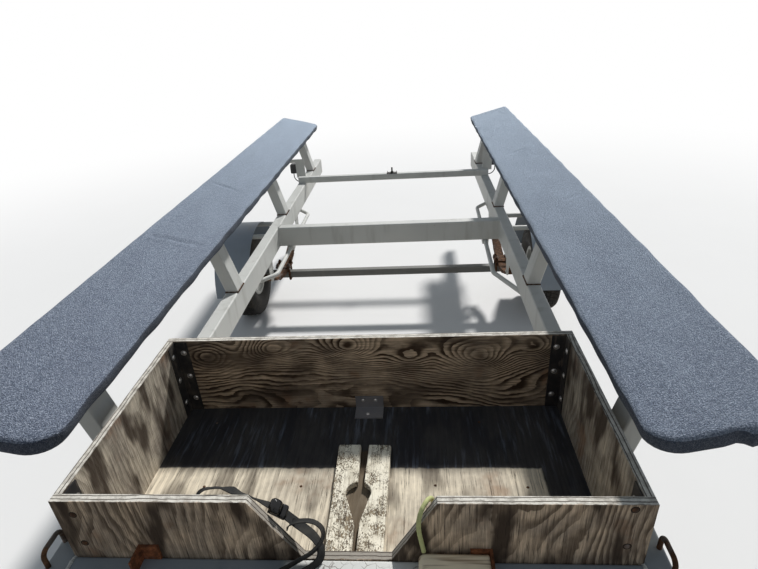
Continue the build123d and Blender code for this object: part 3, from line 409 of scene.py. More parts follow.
# %% Growth rings of plywood
# Along the rear wall, height, half width and number of rings of each eye
EYES = [
    (-0.455, 0.684, 0.070, 9.0),
    (-0.265, 0.702, 0.085, 12.0),
    (-0.045, 0.712, 0.080, 11.0),
    (0.125, 0.668, 0.050, 5.0),
    (0.318, 0.668, 0.085, 12.0),
    (0.470, 0.695, 0.060, 7.0),
]
EYE_FLATNESS = 1.45


def hill(finish, across, up, half_width, rings):
    """A rounded hill, wider than it is high, as tall as its number of rings."""
    x = (finish.axis(0) - across) * (1 / half_width)
    z = (finish.axis(2) - up) * (EYE_FLATNESS / half_width)
    return rings * (1.0 + x * x + z * z) ** -1.0


def scales(grain, run, rest):
    """Scales for the three axes: run along the grain and rest across it."""
    return [run if axis == grain else rest for axis in range(3)]


def ring_lines(finish, grain, across, pitch, wander, figure, eyes):
    """1 in the dark line of each ring. wander is in rings, and figure is how busy the slow noise is."""
    slow = finish.stretched(*scales(grain, 0.5, 1.0))
    height = finish.axis(across) * pitch
    height = height + finish.noise(figure, 1.5, 0.45, where=slow) * wander
    height = height + finish.noise(figure * 5, 3, 0.5, where=slow) * wander * 0.10
    for eye in eyes:
        height = height + hill(finish, *eye)
    ring = finish.math("FRACT", height)
    line = finish.step(ring, 0.20, 0.76) * (1.0 - finish.step(ring, 0.93, 1.0))
    return line * (0.4 + finish.patches(0.35, 0.6, 9, 3) * 0.6)


print("eyes", len(EYES))

# %% [markdown]
# Three things on the plywood have a place of their own. The sawn top edges are bleached, and show the layers of
# the sheet as lines. The back and the right side of the floor are almost black, partly wet wood and partly
# painted shade of the rear and right walls, with streaks of painted sheen. Between and under the two boards the
# floor is darker, partly dirt and partly painted shade. Each takes its place from the box of a CAD part or a
# stated line.

# %% Marks and painted shade on the plywood
PLY_BROWN = (0.27, 0.17, 0.095)
PLY_GREY = (0.33, 0.30, 0.26)
PLY_LINE = (0.045, 0.028, 0.018)
PLY_STAIN = (0.26, 0.105, 0.032)
PLY_STREAK = (0.050, 0.036, 0.027)
PLY_DAMP_AND_SHADE = (0.020, 0.022, 0.029)
PLY_PAINTED_SHEEN = (0.19, 0.225, 0.29)
PLY_DIRT_AND_SHADE = (0.115, 0.085, 0.055)
PLY_EDGE = (0.80, 0.77, 0.70)
PLY_SOOT = (0.085, 0.068, 0.055)
PLY_CRACK = (0.030, 0.024, 0.020)
LAYERS_PER_METRE = 118.0
DAMP_SHADE_X = 0.444
DAMP_SHADE_Y = -0.536
box_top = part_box("box_rear_wall")[1].z
boards_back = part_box("chock_boards")[1].y
print("top of the rear wall", round(box_top, 3), "back of the boards", round(boards_back, 3))


def damp_and_shade(finish, wood):
    """Darkens the floor behind one line and beside another, both with a ragged border: partly wet wood and
    partly painted shade, with streaks of painted sheen.
    """
    rag = finish.noise(12, 4) * 0.010 + finish.fibres(60, 4, 60, 3) * 0.008
    behind = finish.step(finish.axis(1) + rag, DAMP_SHADE_Y + 0.006, DAMP_SHADE_Y + 0.013)
    beside = finish.step(finish.axis(0) + rag, DAMP_SHADE_X + 0.006, DAMP_SHADE_X + 0.013)
    sheen = finish.step(finish.fibres(90, 7, 90, 4, 0.65), 0.50, 0.72)
    sheen = sheen * finish.patches(0.38, 0.60, 4.0, 2)
    dark = finish.mixed(sheen * 0.50, PLY_DAMP_AND_SHADE, PLY_PAINTED_SHEEN)
    return finish.mixed(finish.larger(behind, beside) * 0.95, wood, dark)


def board_dirt_and_shade(finish, wood):
    # Dirt and painted shade: the floor is darker between and under the two boards.
    near = finish.absolute(finish.axis(0)) + finish.noise(40, 4) * 0.012
    dirt = 1.0 - finish.step(near, 0.034, 0.058)
    dirt = dirt * (1.0 - finish.step(finish.axis(1), boards_back - 0.012, boards_back))
    return finish.mixed(dirt * 0.80, wood, PLY_DIRT_AND_SHADE)


def top_edge(finish, thin, inner):
    """Of the sawn top edge: where it shows, its colour, and the open lines between its layers."""
    edge = finish.facing_up() * finish.step(finish.axis(2), frame_top - 0.006, frame_top - 0.004)
    from_inner = finish.absolute(finish.absolute(finish.axis(thin)) - abs(inner))
    whole = finish.step(from_inner + (finish.noise(50, 4, 0.6) - 0.5) * 0.014, 0.0002, 0.0022)
    layer = finish.axis(thin) * LAYERS_PER_METRE + finish.noise(9, 5, 0.6) * 1.3
    split = finish.step(finish.math("FRACT", layer), 0.70, 0.80)
    grey = finish.patches(0.4, 0.66, 60, 5, 0.65) * 0.6
    low = 1.0 - finish.step(finish.axis(2), box_top - 0.014, box_top - 0.006)
    colour = finish.mixed(finish.larger(grey, low * 0.9), PLY_EDGE, PLY_GREY)
    return edge * (0.25 + whole * 0.75), finish.mixed(split * 0.88, colour, PLY_SOOT), edge * split


# %% [markdown]
# Years outdoors have greyed the wood, blackened its fibres and drawn dark streaks where water ran down. Each is
# one more mask over the pale wood, and one function makes every sheet. The fibres run up in the side walls and
# the front panel, along the rear wall and back over the floor, and the rear wall has kept most of its colour.

# %% Plywood
def plywood(name, grain, across, thin, inner, pitch, wander, figure, lines, pale, brown, streaks, soot, greyed,
            eyes=(), marks=()):
    """grain, across and thin are the axes of the fibres, the rings' count and the thickness. inner is the place
    of the inner face. lines, brown, streaks, soot and greyed are strengths, and marks adds local wear."""
    finish = Finish(name)
    line = ring_lines(finish, grain, across, pitch, wander, figure, eyes)
    fibre = finish.fibres(*scales(grain, 14.0, 420.0), 5, 0.7)
    cracks = finish.step(fibre, 0.59, 0.66)
    run_down = finish.fibres(*scales(grain, 5.0, 17.0), 3, 0.5) + finish.noise(6, 3) * 0.3
    wood = finish.layered(
        pale,
        (finish.patches(0.38, 0.62, 7.0, 5, 0.65) * greyed, PLY_GREY),
        (brown, PLY_BROWN),
        (finish.step(fibre, 0.36, 0.60) * soot, PLY_SOOT),
        (finish.patches(0.57, 0.72, 7.0, 4, 0.6) * 0.45, PLY_STAIN),
        (line * lines, PLY_LINE),
        (finish.step(run_down, 0.63, 0.80) * streaks, PLY_STREAK),
    )
    for mark in marks:
        wood = mark(finish, wood)
    wood = finish.mixed(cracks * 0.75, wood, PLY_CRACK)
    shown, bleached, split = top_edge(finish, thin, inner)
    relief = fibre * 0.8 + (1.0 - line) * 0.25 + (1.0 - cracks) * 0.5 - split
    return finish.done(finish.mixed(shown, wood, bleached), 0.84 + fibre * 0.1, relief, 0.0013,
                       specular_ior_level=0.1)


# %% [markdown]
# The four sheets of the box differ in the way of their grain, in how busy their figure is, and in how far the
# weather has got. Only the rear wall has eyes, and only the floor is wet and dirty and takes painted shade.

# %% Sheets of the box
X, Y, Z = range(3)
panel_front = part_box("box_front_panel")[0].y
rear_ply = plywood(
    "plywood_rear_wall", X, Z, Y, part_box("box_rear_wall")[0].y, pitch=34.0, wander=22.0, figure=4.5, lines=1.0,
    pale=(1.0, 0.80, 0.585), brown=0.34, streaks=0.7, soot=0.5, greyed=0.7, eyes=EYES,
)
side_ply = plywood(
    "plywood_side_walls", Z, Y, X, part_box("box_floor")[1].x, pitch=50.0, wander=24.0, figure=3.0, lines=0.34,
    pale=(0.74, 0.67, 0.55), brown=0.06, streaks=0.92, soot=0.4, greyed=0.8,
)
front_ply = plywood(
    "plywood_front_panel", Z, X, Y, panel_front, pitch=42.0, wander=22.0, figure=3.5, lines=0.75,
    pale=(0.93, 0.735, 0.54), brown=0.28, streaks=0.98, soot=0.5, greyed=0.75,
)
floor_ply = plywood(
    "plywood_floor", Y, X, Z, 0.0, pitch=60.0, wander=14.0, figure=3.0, lines=0.25,
    pale=(0.97, 0.87, 0.69), brown=0.03, streaks=0.6, soot=0.22, greyed=0.45, marks=(damp_and_shade, board_dirt_and_shade),
)
print("plywood", [m.name for m in (rear_ply, side_ply, front_ply, floor_ply)])

# %% [markdown]
# The two boards on the floor once had white paint, which has flaked, and the block on the crossmember is bare
# softwood, painted paler than its wood as painted sunlight. Both get long grain, and the flakes are a mask with
# a hard edge that also stands a little proud.

# %% Painted and bare boards
def flaking_board(name):
    finish = Finish(name)
    fibre = finish.fibres(190, 9, 190, 5, 0.6)
    flakes = finish.fibres(380, 200, 380, 5, 0.72) + finish.noise(26, 5, 0.6) * 0.75
    flakes = finish.step(flakes, 0.785, 0.85)
    worn = finish.step(finish.fibres(34, 13, 34, 5, 0.65), 0.48, 0.62)
    specks = finish.patches(0.61, 0.66, 420, 3, 0.7)
    wood = finish.mixed(finish.step(fibre, 0.35, 0.65), (0.34, 0.27, 0.18), (0.095, 0.072, 0.052))
    white = finish.layered(
        (0.97, 0.93, 0.80),
        (finish.noise(20, 4), (0.88, 0.82, 0.67)),
        (finish.step(fibre, 0.54, 0.64) * 0.6, (0.30, 0.25, 0.19)),
        (worn * 0.38, (0.36, 0.31, 0.22)),
    )
    colour = finish.layered(wood, (flakes, white), (specks * (0.15 + worn * 0.5), (0.060, 0.048, 0.036)))
    return finish.done(colour, 0.75 + fibre * 0.15, flakes * 0.6 + fibre * 0.4, 0.0014, specular_ior_level=0.15)


def bare_board(name):
    finish = Finish(name)
    fibre = finish.fibres(5, 120, 120, 5, 0.6)
    grain = finish.step(finish.fibres(3, 55, 55, 3, 0.5), 0.52, 0.60)
    # The pale base colour stands for painted sunlight on the block.
    wood = finish.layered(
        (1.0, 0.88, 0.66),
        (finish.patches(0.4, 0.7, 12, 4) * 0.25, (0.62, 0.52, 0.40)),
        (grain * 0.75, (0.30, 0.19, 0.10)),
        (finish.step(fibre, 0.55, 0.7) * 0.6, (0.16, 0.11, 0.07)),
    )
    return finish.done(wood, 0.8, fibre, 0.001, specular_ior_level=0.15)


white_board = flaking_board("worn_board")
painted_light_board = bare_board("pale_wood")
print("boards", white_board.name, painted_light_board.name)

# %% [markdown]
# Rubber and plastics are the plainest finishes. Tyre rubber is a very dark brown-grey with dust in it, and a
# little sheen at grazing angles comes by itself from the shader. The darkest finishes have a low specular
# level, because every reflection that they catch is one of the white surroundings.

# %% Rubber, plastic, webbing and rope
def rubber(name, colour=(0.020, 0.019, 0.018), dust=0.5):
    finish = Finish(name)
    cloud = finish.noise(18, 5, 0.6)
    dusty = finish.mixed(finish.step(cloud, 0.4, 0.75) * dust, colour, (0.095, 0.082, 0.066))
    return finish.done(dusty, 0.62 + cloud * 0.3, finish.noise(420, 3), 0.0004, specular_ior_level=0.25)


def coloured_plastic(name, colour, roughness, gloss=0.0, shine=0.5, dust=0.05):
    finish = Finish(name)
    cloud = finish.noise(30, 4)
    faded = finish.mixed(finish.step(cloud, 0.4, 0.8) * 0.3, colour, tuple(0.6 * c + dust for c in colour))
    return finish.done(faded, roughness + cloud * 0.12, finish.noise(300, 2), 0.0002, coat_weight=gloss,
                       specular_ior_level=shine)


def strap_webbing(name):
    finish = Finish(name)
    ribs = finish.node("ShaderNodeTexWave", {"Vector": finish.place, "Scale": 160.0, "Distortion": 0.6})
    colour = finish.mixed(ribs, (0.030, 0.031, 0.031), (0.011, 0.011, 0.012))
    colour = finish.mixed(finish.patches(0.45, 0.75, 30, 5, 0.6) * 0.35, colour, (0.080, 0.076, 0.066))
    return finish.done(colour, 0.72, ribs, 0.0005, specular_ior_level=0.15)


def braided_fibre(name):
    finish = Finish(name)
    soil = finish.patches(0.42, 0.72, 45, 5, 0.65)
    colour = finish.mixed(soil * 0.5, (0.53, 0.56, 0.27), (0.28, 0.30, 0.13))
    return finish.done(colour, 0.8, finish.noise(600, 3, 0.6), 0.0005, specular_ior_level=0.15)


tyre_rubber = rubber("tyre_rubber")
black_rubber = rubber("black_rubber", (0.024, 0.023, 0.023), 0.3)
black_plastic = coloured_plastic("black_plastic", (0.018, 0.018, 0.020), 0.42)
shiny_black = coloured_plastic("shiny_black", (0.006, 0.006, 0.007), 0.16, gloss=0.12, shine=0.25, dust=0.01)
red_lens = coloured_plastic("red_lens", (0.36, 0.012, 0.010), 0.16, gloss=0.6)
webbing = strap_webbing("webbing")
rope_fibre = braided_fibre("rope")
print("soft", [m.name for m in (tyre_rubber, black_rubber, webbing, rope_fibre)])

# %% [markdown]
# The bunks wear outdoor carpet: needle-punched fibres dyed in several blues, so the surface is a heather of
# pale and dark specks a few millimetres across. Cell noise gives each tuft its own tone and a finer noise
# breaks it up. The same patterns feed a strong bump, because the pile is what makes it read as carpet. The far
# ends are painted paler than the near ones, as painted sheen, and the sides darker, as painted shade.

# %% Carpet
CARPET_DARK = (0.022, 0.032, 0.064)
CARPET_MID = (0.122, 0.152, 0.218)
CARPET_PALE = (0.46, 0.51, 0.62)
CARPET_TRODDEN = (0.27, 0.31, 0.40)
CARPET_PAINTED_SHEEN = (0.53, 0.63, 0.76)
CARPET_SIDE_SHADE = (0.016, 0.022, 0.040)


def heather_carpet(name, faded):
    finish = Finish(name)
    tuft = finish.node("ShaderNodeSeparateXYZ", {0: finish.cells(560, output="Color")})
    strand = finish.noise(800, 4, 0.7)
    tone = tuft * 0.46 + strand * 0.5 + finish.noise(120, 4) * 0.26
    stops = [(0.36, rgba(CARPET_DARK)), (0.60, rgba(CARPET_MID)), (0.90, rgba(CARPET_PALE))]
    colour = finish.node("ShaderNodeValToRGB", {"Fac": tone}, stops=stops)
    trodden = finish.step(finish.noise(5, 5, where=finish.stretched(1, 0.45, 1)), 0.42, 0.72)
    patchy = (finish.noise(4.0, 4, where=finish.stretched(4, 1, 4)) - 0.5) * 0.25
    # Painted sheen: paler towards the far end, where the pile is seen at a grazing angle.
    far_sheen = finish.step((finish.axis(Y) + 0.65) * 0.29 + patchy + faded, -0.35, 1.10)
    # The sides of the bunks are painted dark, as painted shade.
    colour = finish.layered(
        colour,
        (trodden * 0.16, CARPET_TRODDEN),
        (far_sheen * 0.95 - tone * 0.12, CARPET_PAINTED_SHEEN),
        ((1.0 - finish.facing_up()) * 0.7, CARPET_SIDE_SHADE),
    )
    pile = finish.cells(420) * -0.9 + strand * 0.9
    return finish.done(colour, 0.95, pile, 0.0028, sheen_weight=0.12, sheen_roughness=0.5,
                       specular_ior_level=0.08)


# The right carpet takes more of the painted sheen than the left one.
carpets = {"left": heather_carpet("carpet_left", 0.02), "right": heather_carpet("carpet_right", 0.16)}
print("carpets", [m.name for m in carpets.values()])

# %% [markdown]
# Now each CAD part takes its finish. One table pairs the parts with the materials, and the same table is
# checked at once: a part that is missing from it would show up bare.

# %% Finishes of the CAD parts
finishes = {
    crossmember_paint: ["front_crossmember"],
    axle_paint: ["axle"],
    rail_paint: ["rail_left", "rail_right"],
    paint: ["box_crossmember", "mid_crossmember", "rear_bar",
            "tongue_tube", "floor_cleats", "brace_tubes", "spring_hangers", "rim_left", "rim_right",
            "fender_arms", "lamp_brackets", "coupler", "winch_post"],
    post_paint: ["bunk_posts_left", "bunk_posts_right"],
    fender_paint: ["fender_left", "fender_right"],
    worn_rust: ["leaf_springs", "spring_clamps", "tie_loops"],
    rust_coat: ["stop_angles"],
    black_coat: ["corner_angles", "bar_clip", "strap_buckle"],
    zinc: ["hub_left", "hub_right", "coupler_latch", "winch_frame", "winch_crank", "jack_mount", "jack_tube",
           "jack_leg", "caster_fork"],
    aluminium: ["floor_clip"],
    floor_ply: ["box_floor"],
    side_ply: ["box_side_walls"],
    rear_ply: ["box_rear_wall"],
    front_ply: ["box_front_panel"],
    white_board: ["chock_boards"],
    painted_light_board: ["wood_block"],
    tyre_rubber: ["tyre_left", "tyre_right"],
    black_rubber: ["bow_stop", "lamp_leads"],
    black_plastic: ["lamps", "jack_crank", "caster_wheel"],
    webbing: ["winch_drum", "strap", "strap_tail"],
    rope_fibre: ["rope"],
    carpets["left"]: ["bunk_left"],
    carpets["right"]: ["bunk_right"],
}
for material, names in finishes.items():
    for name in names:
        cad[name].data.materials.clear()
        cad[name].data.materials.append(material)
unfinished = set(cad) - {name for names in finishes.values() for name in names}
print("parts without a finish:", sorted(unfinished))

# %% [markdown]
# Pieces made here are plain meshes. One helper puts a mesh into the scene, gives it a finish and hands it to
# the body that it moves with. Smooth shading stops at sharp edges, as on a real casting.

# %% Making a piece
SMOOTH_ANGLE = radians(38)


def keep(mesh, name, body, material=None, smooth=True):
    """Puts a finished mesh into the scene as one piece of the trailer."""
    if material:
        mesh.materials.clear()
        mesh.materials.append(material)
    piece = put(name, mesh)
    mesh.polygons.foreach_set("use_smooth", [smooth] * len(mesh.polygons))
    if smooth:
        mesh.set_sharp_from_angle(angle=SMOOTH_ANGLE)
    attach(piece, body)
    return piece


def mesh_of(shape, name):
    """Plain mesh of a bmesh, with its faces outwards."""
    bmesh.ops.recalc_face_normals(shape, faces=shape.faces)
    mesh = bpy.data.meshes.new(name)
    shape.to_mesh(mesh)
    shape.free()
    return mesh


# %% [markdown]
# Each bunk is a plank wrapped in carpet. Its top tilts towards the keel line, and the CAD model states that top
# as a mount, with a point and a direction. The carpet rounds every edge, so the plank is built as an outline
# with round corners, pulled down, bevelled, then cut into a fine grid.

# %% Planks of the bunks
BUNK_WIDTH = 0.250
BUNK_THICKNESS = 0.044
BUNK_FRONT_CORNER = 0.060
BUNK_REAR_CORNER = 0.025
CARPET_ROUND = 0.013
CUT_STEP = 0.010
CUTS_ACROSS = 12


def rounded_outline(half, length, front, rear, segments=8):
    """Corners of the plank seen from above, counter-clockwise from the near left corner."""
    arcs = [
        ((-half + front, front), pi, front),
        ((half - front, front), 1.5 * pi, front),
        ((half - rear, length - rear), 0.0, rear),
        ((-half + rear, length - rear), 0.5 * pi, rear),
    ]
    points = []
    for (x, y), start, radius in arcs:
        for step in range(segments + 1):
            angle = start + 0.5 * pi * step / segments
            points.append((x + radius * cos(angle), y + radius * sin(angle)))
    return points


def cut_grid(shape, direction, counts):
    """Cuts the whole shape square to a direction, at each count of steps along it."""
    for count in counts:
        whole = shape.verts[:] + shape.edges[:] + shape.faces[:]
        bmesh.ops.bisect_plane(shape, geom=whole, plane_co=direction * (count * CUT_STEP), plane_no=direction)


def plank(name, length):
    shape = bmesh.new()
    outline = rounded_outline(BUNK_WIDTH / 2, length, BUNK_FRONT_CORNER, BUNK_REAR_CORNER)
    top = shape.faces.new([shape.verts.new((x, y, 0)) for x, y in outline])
    pulled = bmesh.ops.extrude_face_region(shape, geom=[top])
    lowered = [item for item in pulled["geom"] if isinstance(item, bmesh.types.BMVert)]
    bmesh.ops.translate(shape, verts=lowered, vec=(0, 0, -BUNK_THICKNESS))
    flat = [edge for edge in shape.edges if abs(edge.verts[0].co.z - edge.verts[1].co.z) < 1e-6]
    bmesh.ops.bevel(shape, geom=flat, offset=CARPET_ROUND, segments=4, affect="EDGES", profile=0.5)
    cut_grid(shape, Vector((0, 1, 0)), range(1, int(length / CUT_STEP)))
    cut_grid(shape, Vector((1, 0, 0)), range(-CUTS_ACROSS, CUTS_ACROSS + 1))
    return mesh_of(shape, name)


# %% [markdown]
# The grid lets the cloth bulge by a few millimetres and take the shallow creases where it was stretched over
# the plank. A crease is a bell-shaped groove along a line, with a low ridge beside it. The sides hang in slow
# ripples, and at the near end of the right bunk the cloth is folded into a pleat.

# %% Carpet over the planks
CREASES = {
    # across from the middle, along from the near end: start, end, depth
    "left": [((-0.108, 1.530), (0.055, 1.468), 0.0048), ((-0.120, 0.918), (0.102, 0.906), 0.0048),
             ((-0.103, 1.10), (-0.075, 1.095), 0.0035)],
    "right": [((0.020, 1.15), (0.100, 1.18), 0.0020), ((-0.06, 1.92), (0.05, 1.95), 0.0025)],
}
CROWN_DROP = 0.0022
PLEAT_ACROSS = 0.034
PLEAT_WIDTH = 0.011


def along_line(points, start, end):
    """Distance of each point from a stretch of line, and how far along it lies, from 0 to 1."""
    start, end = np.array(start), np.array(end)
    run = end - start
    share = np.clip(((points - start) @ run) / (run @ run), 0, 1)
    return np.linalg.norm(points - start - share[:, None] * run, axis=1), share


def bell(distance, width):
    return np.exp(-((distance / width) ** 2))


def stretch_cloth(mesh, name, side):
    """Moves the points of a plank as its carpet lies: swollen and creased on top, rippled on the sides."""
    place = rows_of(mesh.vertices, "co")
    x, y, z = place.T
    on_top = np.clip(z / CARPET_ROUND + 1.0, 0, 1)
    below = 1.0 - on_top
    swell = 0.0016 * np.sin(y * 5.3 + side) * np.cos(x * 17)
    swell += 0.0009 * np.sin(y * 23.0) * np.sin(x * 31 + 1.0)
    swell -= CROWN_DROP
    for start, end, depth in CREASES[name]:
        distance, share = along_line(place[:, :2], start, end)
        fade = np.sin(np.pi * np.clip(share, 0.02, 0.98))
        swell -= depth * fade * bell(distance, 0.010)
        swell += 0.5 * depth * fade * bell(distance - 0.022, 0.012)
    z += swell * on_top
    x += np.sign(x) * 0.0016 * np.sin(y * 38.0 + side) * np.sin(y * 11.0) * below
    z += 0.0014 * np.sin(y * 27.0 + 2.0 * side) * below
    if name == "right":
        near = below * bell(y, 0.02)
        ridge = bell(x - PLEAT_ACROSS, PLEAT_WIDTH)
        groove = bell(x - PLEAT_ACROSS + 0.024, PLEAT_WIDTH)
        y -= near * (0.0075 * ridge - 0.004 * groove)
        z -= near * 0.005 * ridge
    mesh.vertices.foreach_set("co", place.ravel())


# %% [markdown]
# Each plank is made lying flat, with its near end at the origin, and then stood on its mount. The new bunk
# states that it stands for the CAD bunk, and that it is padded.

# %% Carpeted bunks
for name, side in sides:
    mount = mounts[f"bunk_{name}_top"]
    low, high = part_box(f"bunk_{name}")
    normal = Vector(mount["axis"]).normalized()
    lengthwise = Vector((0, 1, 0))
    middle = Vector(mount["pos_m"])
    mesh = plank(f"carpeted_bunk_{name}", high.y - low.y)
    stretch_cloth(mesh, name, side)
    near_end = Vector((middle.x, low.y, middle.z))
    mesh.transform(stand(near_end, lengthwise.cross(normal), lengthwise, normal))
    bunk = keep(mesh, f"carpeted_bunk_{name}", "trailer", carpets[name])
    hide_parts(f"bunk_{name}")
    print(bunk.name, len(mesh.polygons), "faces")

# %% [markdown]
# The worn boards and the wood block have lost their sharp edges. Each starts from a merged copy of its CAD
# part. A voxel remesh gives it an even skin, smoothing wears the corners, and waves of three sizes push the
# skin in and out along its normals.

# %% Worn wood
WEAR_ROUNDS = 6
WEAR_DEPTH = 0.0006
WEAR_SEED = 7
WAVES = (25.0, 60.0, 140.0)


def worn_copy(node, voxel):
    shape = bmesh.new()
    shape.from_mesh(cad[node].data)
    bmesh.ops.remove_doubles(shape, verts=shape.verts, dist=1e-5)
    rough = put("worn_" + node, mesh_of(shape, "worn_" + node))
    remesh = rough.modifiers.new("even", "REMESH")
    remesh.mode = "VOXEL"
    remesh.voxel_size = voxel
    smooth = rough.modifiers.new("wear", "SMOOTH")
    smooth.iterations = WEAR_ROUNDS
    smooth.factor = 0.6
    mesh = finished_mesh(rough)
    place, normals = rows_of(mesh.vertices, "co"), rows_of(mesh.vertex_normals, "vector")
    height = np.zeros(len(place))
    rng = np.random.default_rng(WEAR_SEED)
    for wave in WAVES:
        direction = rng.normal(size=(3, 3)) * wave
        phase = rng.uniform(0, 6.28, 3)
        height += np.sin(place @ direction[0] + phase[0]) * np.sin(place @ direction[1] + phase[1]) / wave
    height *= WEAR_DEPTH * WAVES[0]
    place += normals * (height - WEAR_DEPTH)[:, None]
    mesh.vertices.foreach_set("co", place.ravel())
    return mesh


for node, voxel, slot, material in (
    ("chock_boards", 0.0028, "worn_board", white_board),
    ("wood_block", 0.0024, "pale_wood", painted_light_board),
):
    board = keep(worn_copy(node, voxel), "worn_" + node, "trailer", material)
    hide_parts(node)
    print(board.name, len(board.data.polygons), "faces")

# %% [markdown]
# Bolts, nuts and screws repeat all over the trailer, so one Geometry Nodes tree makes them. It takes a cloud of
# points, each with the direction that its head faces, and puts a head on every point. Instances are realized at
# the end, because the exported model drops instances.

# %% A geometry tree under construction
class Pattern(Graph):
    """A geometry tree that is being put together, with named float inputs."""

    def __init__(self, name, **inputs):
        super().__init__(bpy.data.node_groups.new(name, "GeometryNodeTree"))
        sockets = self.tree.interface
        sockets.new_socket("Geometry", in_out="INPUT", socket_type="NodeSocketGeometry")
        for label, value in inputs.items():
            sockets.new_socket(label, in_out="INPUT", socket_type="NodeSocketFloat").default_value = value
        sockets.new_socket("Geometry", in_out="OUTPUT", socket_type="NodeSocketGeometry")
        self.entry = self.tree.nodes.new("NodeGroupInput")

    def given(self, label):
        return Socket(self, self.entry.outputs[label])

    def joined(self, *parts):
        made = self.tree.nodes.new("GeometryNodeJoinGeometry")
        for part in parts:
            self.tree.links.new(part.output, made.inputs[0])
        return Socket(self, made.outputs[0])

    def raised(self, geometry, height):
        offset = self.node("ShaderNodeCombineXYZ", {"Z": height})
        return self.node("GeometryNodeTransform", {"Geometry": geometry, "Translation": offset})

    def upright(self):
        """Rotation that turns Z to the direction stated at each point."""
        facing = self.node("GeometryNodeInputNamedAttribute", {"Name": "facing"}, data_type="FLOAT_VECTOR")
        return self.node("FunctionNodeAlignRotationToVector", {"Vector": facing}, axis="Z")

    def spread(self, material, points, instance, **placing):
        """Puts a real copy of the instance on every point, sets the material and ends the tree."""
        sockets = {"Points": points, "Instance": instance, **placing}
        copies = self.node("GeometryNodeInstanceOnPoints", sockets)
        solid = self.node("GeometryNodeRealizeInstances", {0: copies})
        painted = self.node("GeometryNodeSetMaterial", {"Geometry": solid, "Material": material})
        self.node("NodeGroupOutput", {0: painted})
        return self.tree


# %% [markdown]
# The second half of that work is the same for every tree: a mesh of points or edges goes in, the tree runs on
# it as a modifier, and what it made is kept as one plain mesh.

# %% From a tree to a piece
def grown(source, tree, name, body, slot, smooth=True, **sizes):
    """Runs a tree on a mesh of points or edges and keeps the result as one plain piece."""
    holder = put(name + "_source", source)
    modifier = holder.modifiers.new("grow", "NODES")
    modifier.node_group = tree
    for item in tree.interface.items_tree:
        if item.in_out == "INPUT" and item.name in sizes:
            modifier[item.identifier] = sizes[item.name]
    mesh = finished_mesh(holder)
    print(name, len(mesh.polygons), "faces")
    return keep(mesh, name, body, smooth=smooth)


# %% [markdown]
# A head stands on a washer. It is either a hexagon nut with the end of its bolt above it, or a low dome.
# The sizes are named inputs of the tree, so one tree serves every bolt of its kind.

# %% Heads of bolts, nuts and nails
def head_tree(name, material, domed):
    """Tree that puts a washer with a dome or a hexagon on every point."""
    pattern = Pattern(name, Radius=0.008, Height=0.006, Washer=0.011)
    radius, height, washer = (pattern.given(label) for label in ("Radius", "Height", "Washer"))
    ring = pattern.node("GeometryNodeMeshCylinder", {"Vertices": 20, "Radius": washer, "Depth": height * 0.25})
    if domed:
        ball = pattern.node("GeometryNodeMeshUVSphere", {"Segments": 16, "Rings": 8, "Radius": radius})
        squash = pattern.node("ShaderNodeCombineXYZ", {"X": 1.0, "Y": 1.0, "Z": height / radius})
        head = pattern.node("GeometryNodeTransform", {"Geometry": ball, "Scale": squash})
    else:
        head = pattern.node("GeometryNodeMeshCylinder", {"Vertices": 6, "Radius": radius, "Depth": height})
        cone = {"Vertices": 12, "Radius Top": radius * 0.45, "Radius Bottom": radius * 0.55}
        tip = pattern.node("GeometryNodeMeshCone", {**cone, "Depth": height * 0.5})
        head = pattern.joined(pattern.raised(head, height * 0.5), pattern.raised(tip, height * 0.9))
    bolt = pattern.joined(ring, head)
    return pattern.spread(material, pattern.given("Geometry"), bolt, Rotation=pattern.upright())


def spots(rows, name):
    """Mesh of loose points from rows of a place and a facing direction."""
    mesh = bpy.data.meshes.new(name)
    mesh.from_pydata([place for place, _ in rows], [], [])
    facing = mesh.attributes.new("facing", "FLOAT_VECTOR", "POINT")
    facing.data.foreach_set("vector", [value for _, direction in rows for value in direction])
    return mesh


def heads(name, body, slot, tree, rows, radius, height, washer):
    """One piece with a head at every place."""
    grown(spots(rows, name), tree, name, body, slot, Radius=radius, Height=height, Washer=washer)


hex_head = head_tree("hex_head", zinc, False)
rusty_hex = head_tree("rusty_hex_head", worn_rust, False)
dome_head = head_tree("dome_head", zinc, True)
rusty_dome = head_tree("rusty_dome_head", worn_rust, True)
shade_ring_dome = head_tree("dark_dome_head", old_steel, True)
print("trees", [tree.name for tree in (hex_head, rusty_hex, dome_head, rusty_dome, shade_ring_dome)])

# %% [markdown]
# The box is held together by carriage bolts through the black corner angles, three rows high, and by two more
# at each end of the front panel, whose heads have rusted brown. A near-black ring round each of those heads is
# painted shade. A few nail heads show on the floor. The places come from the boxes of the parts that they hold.

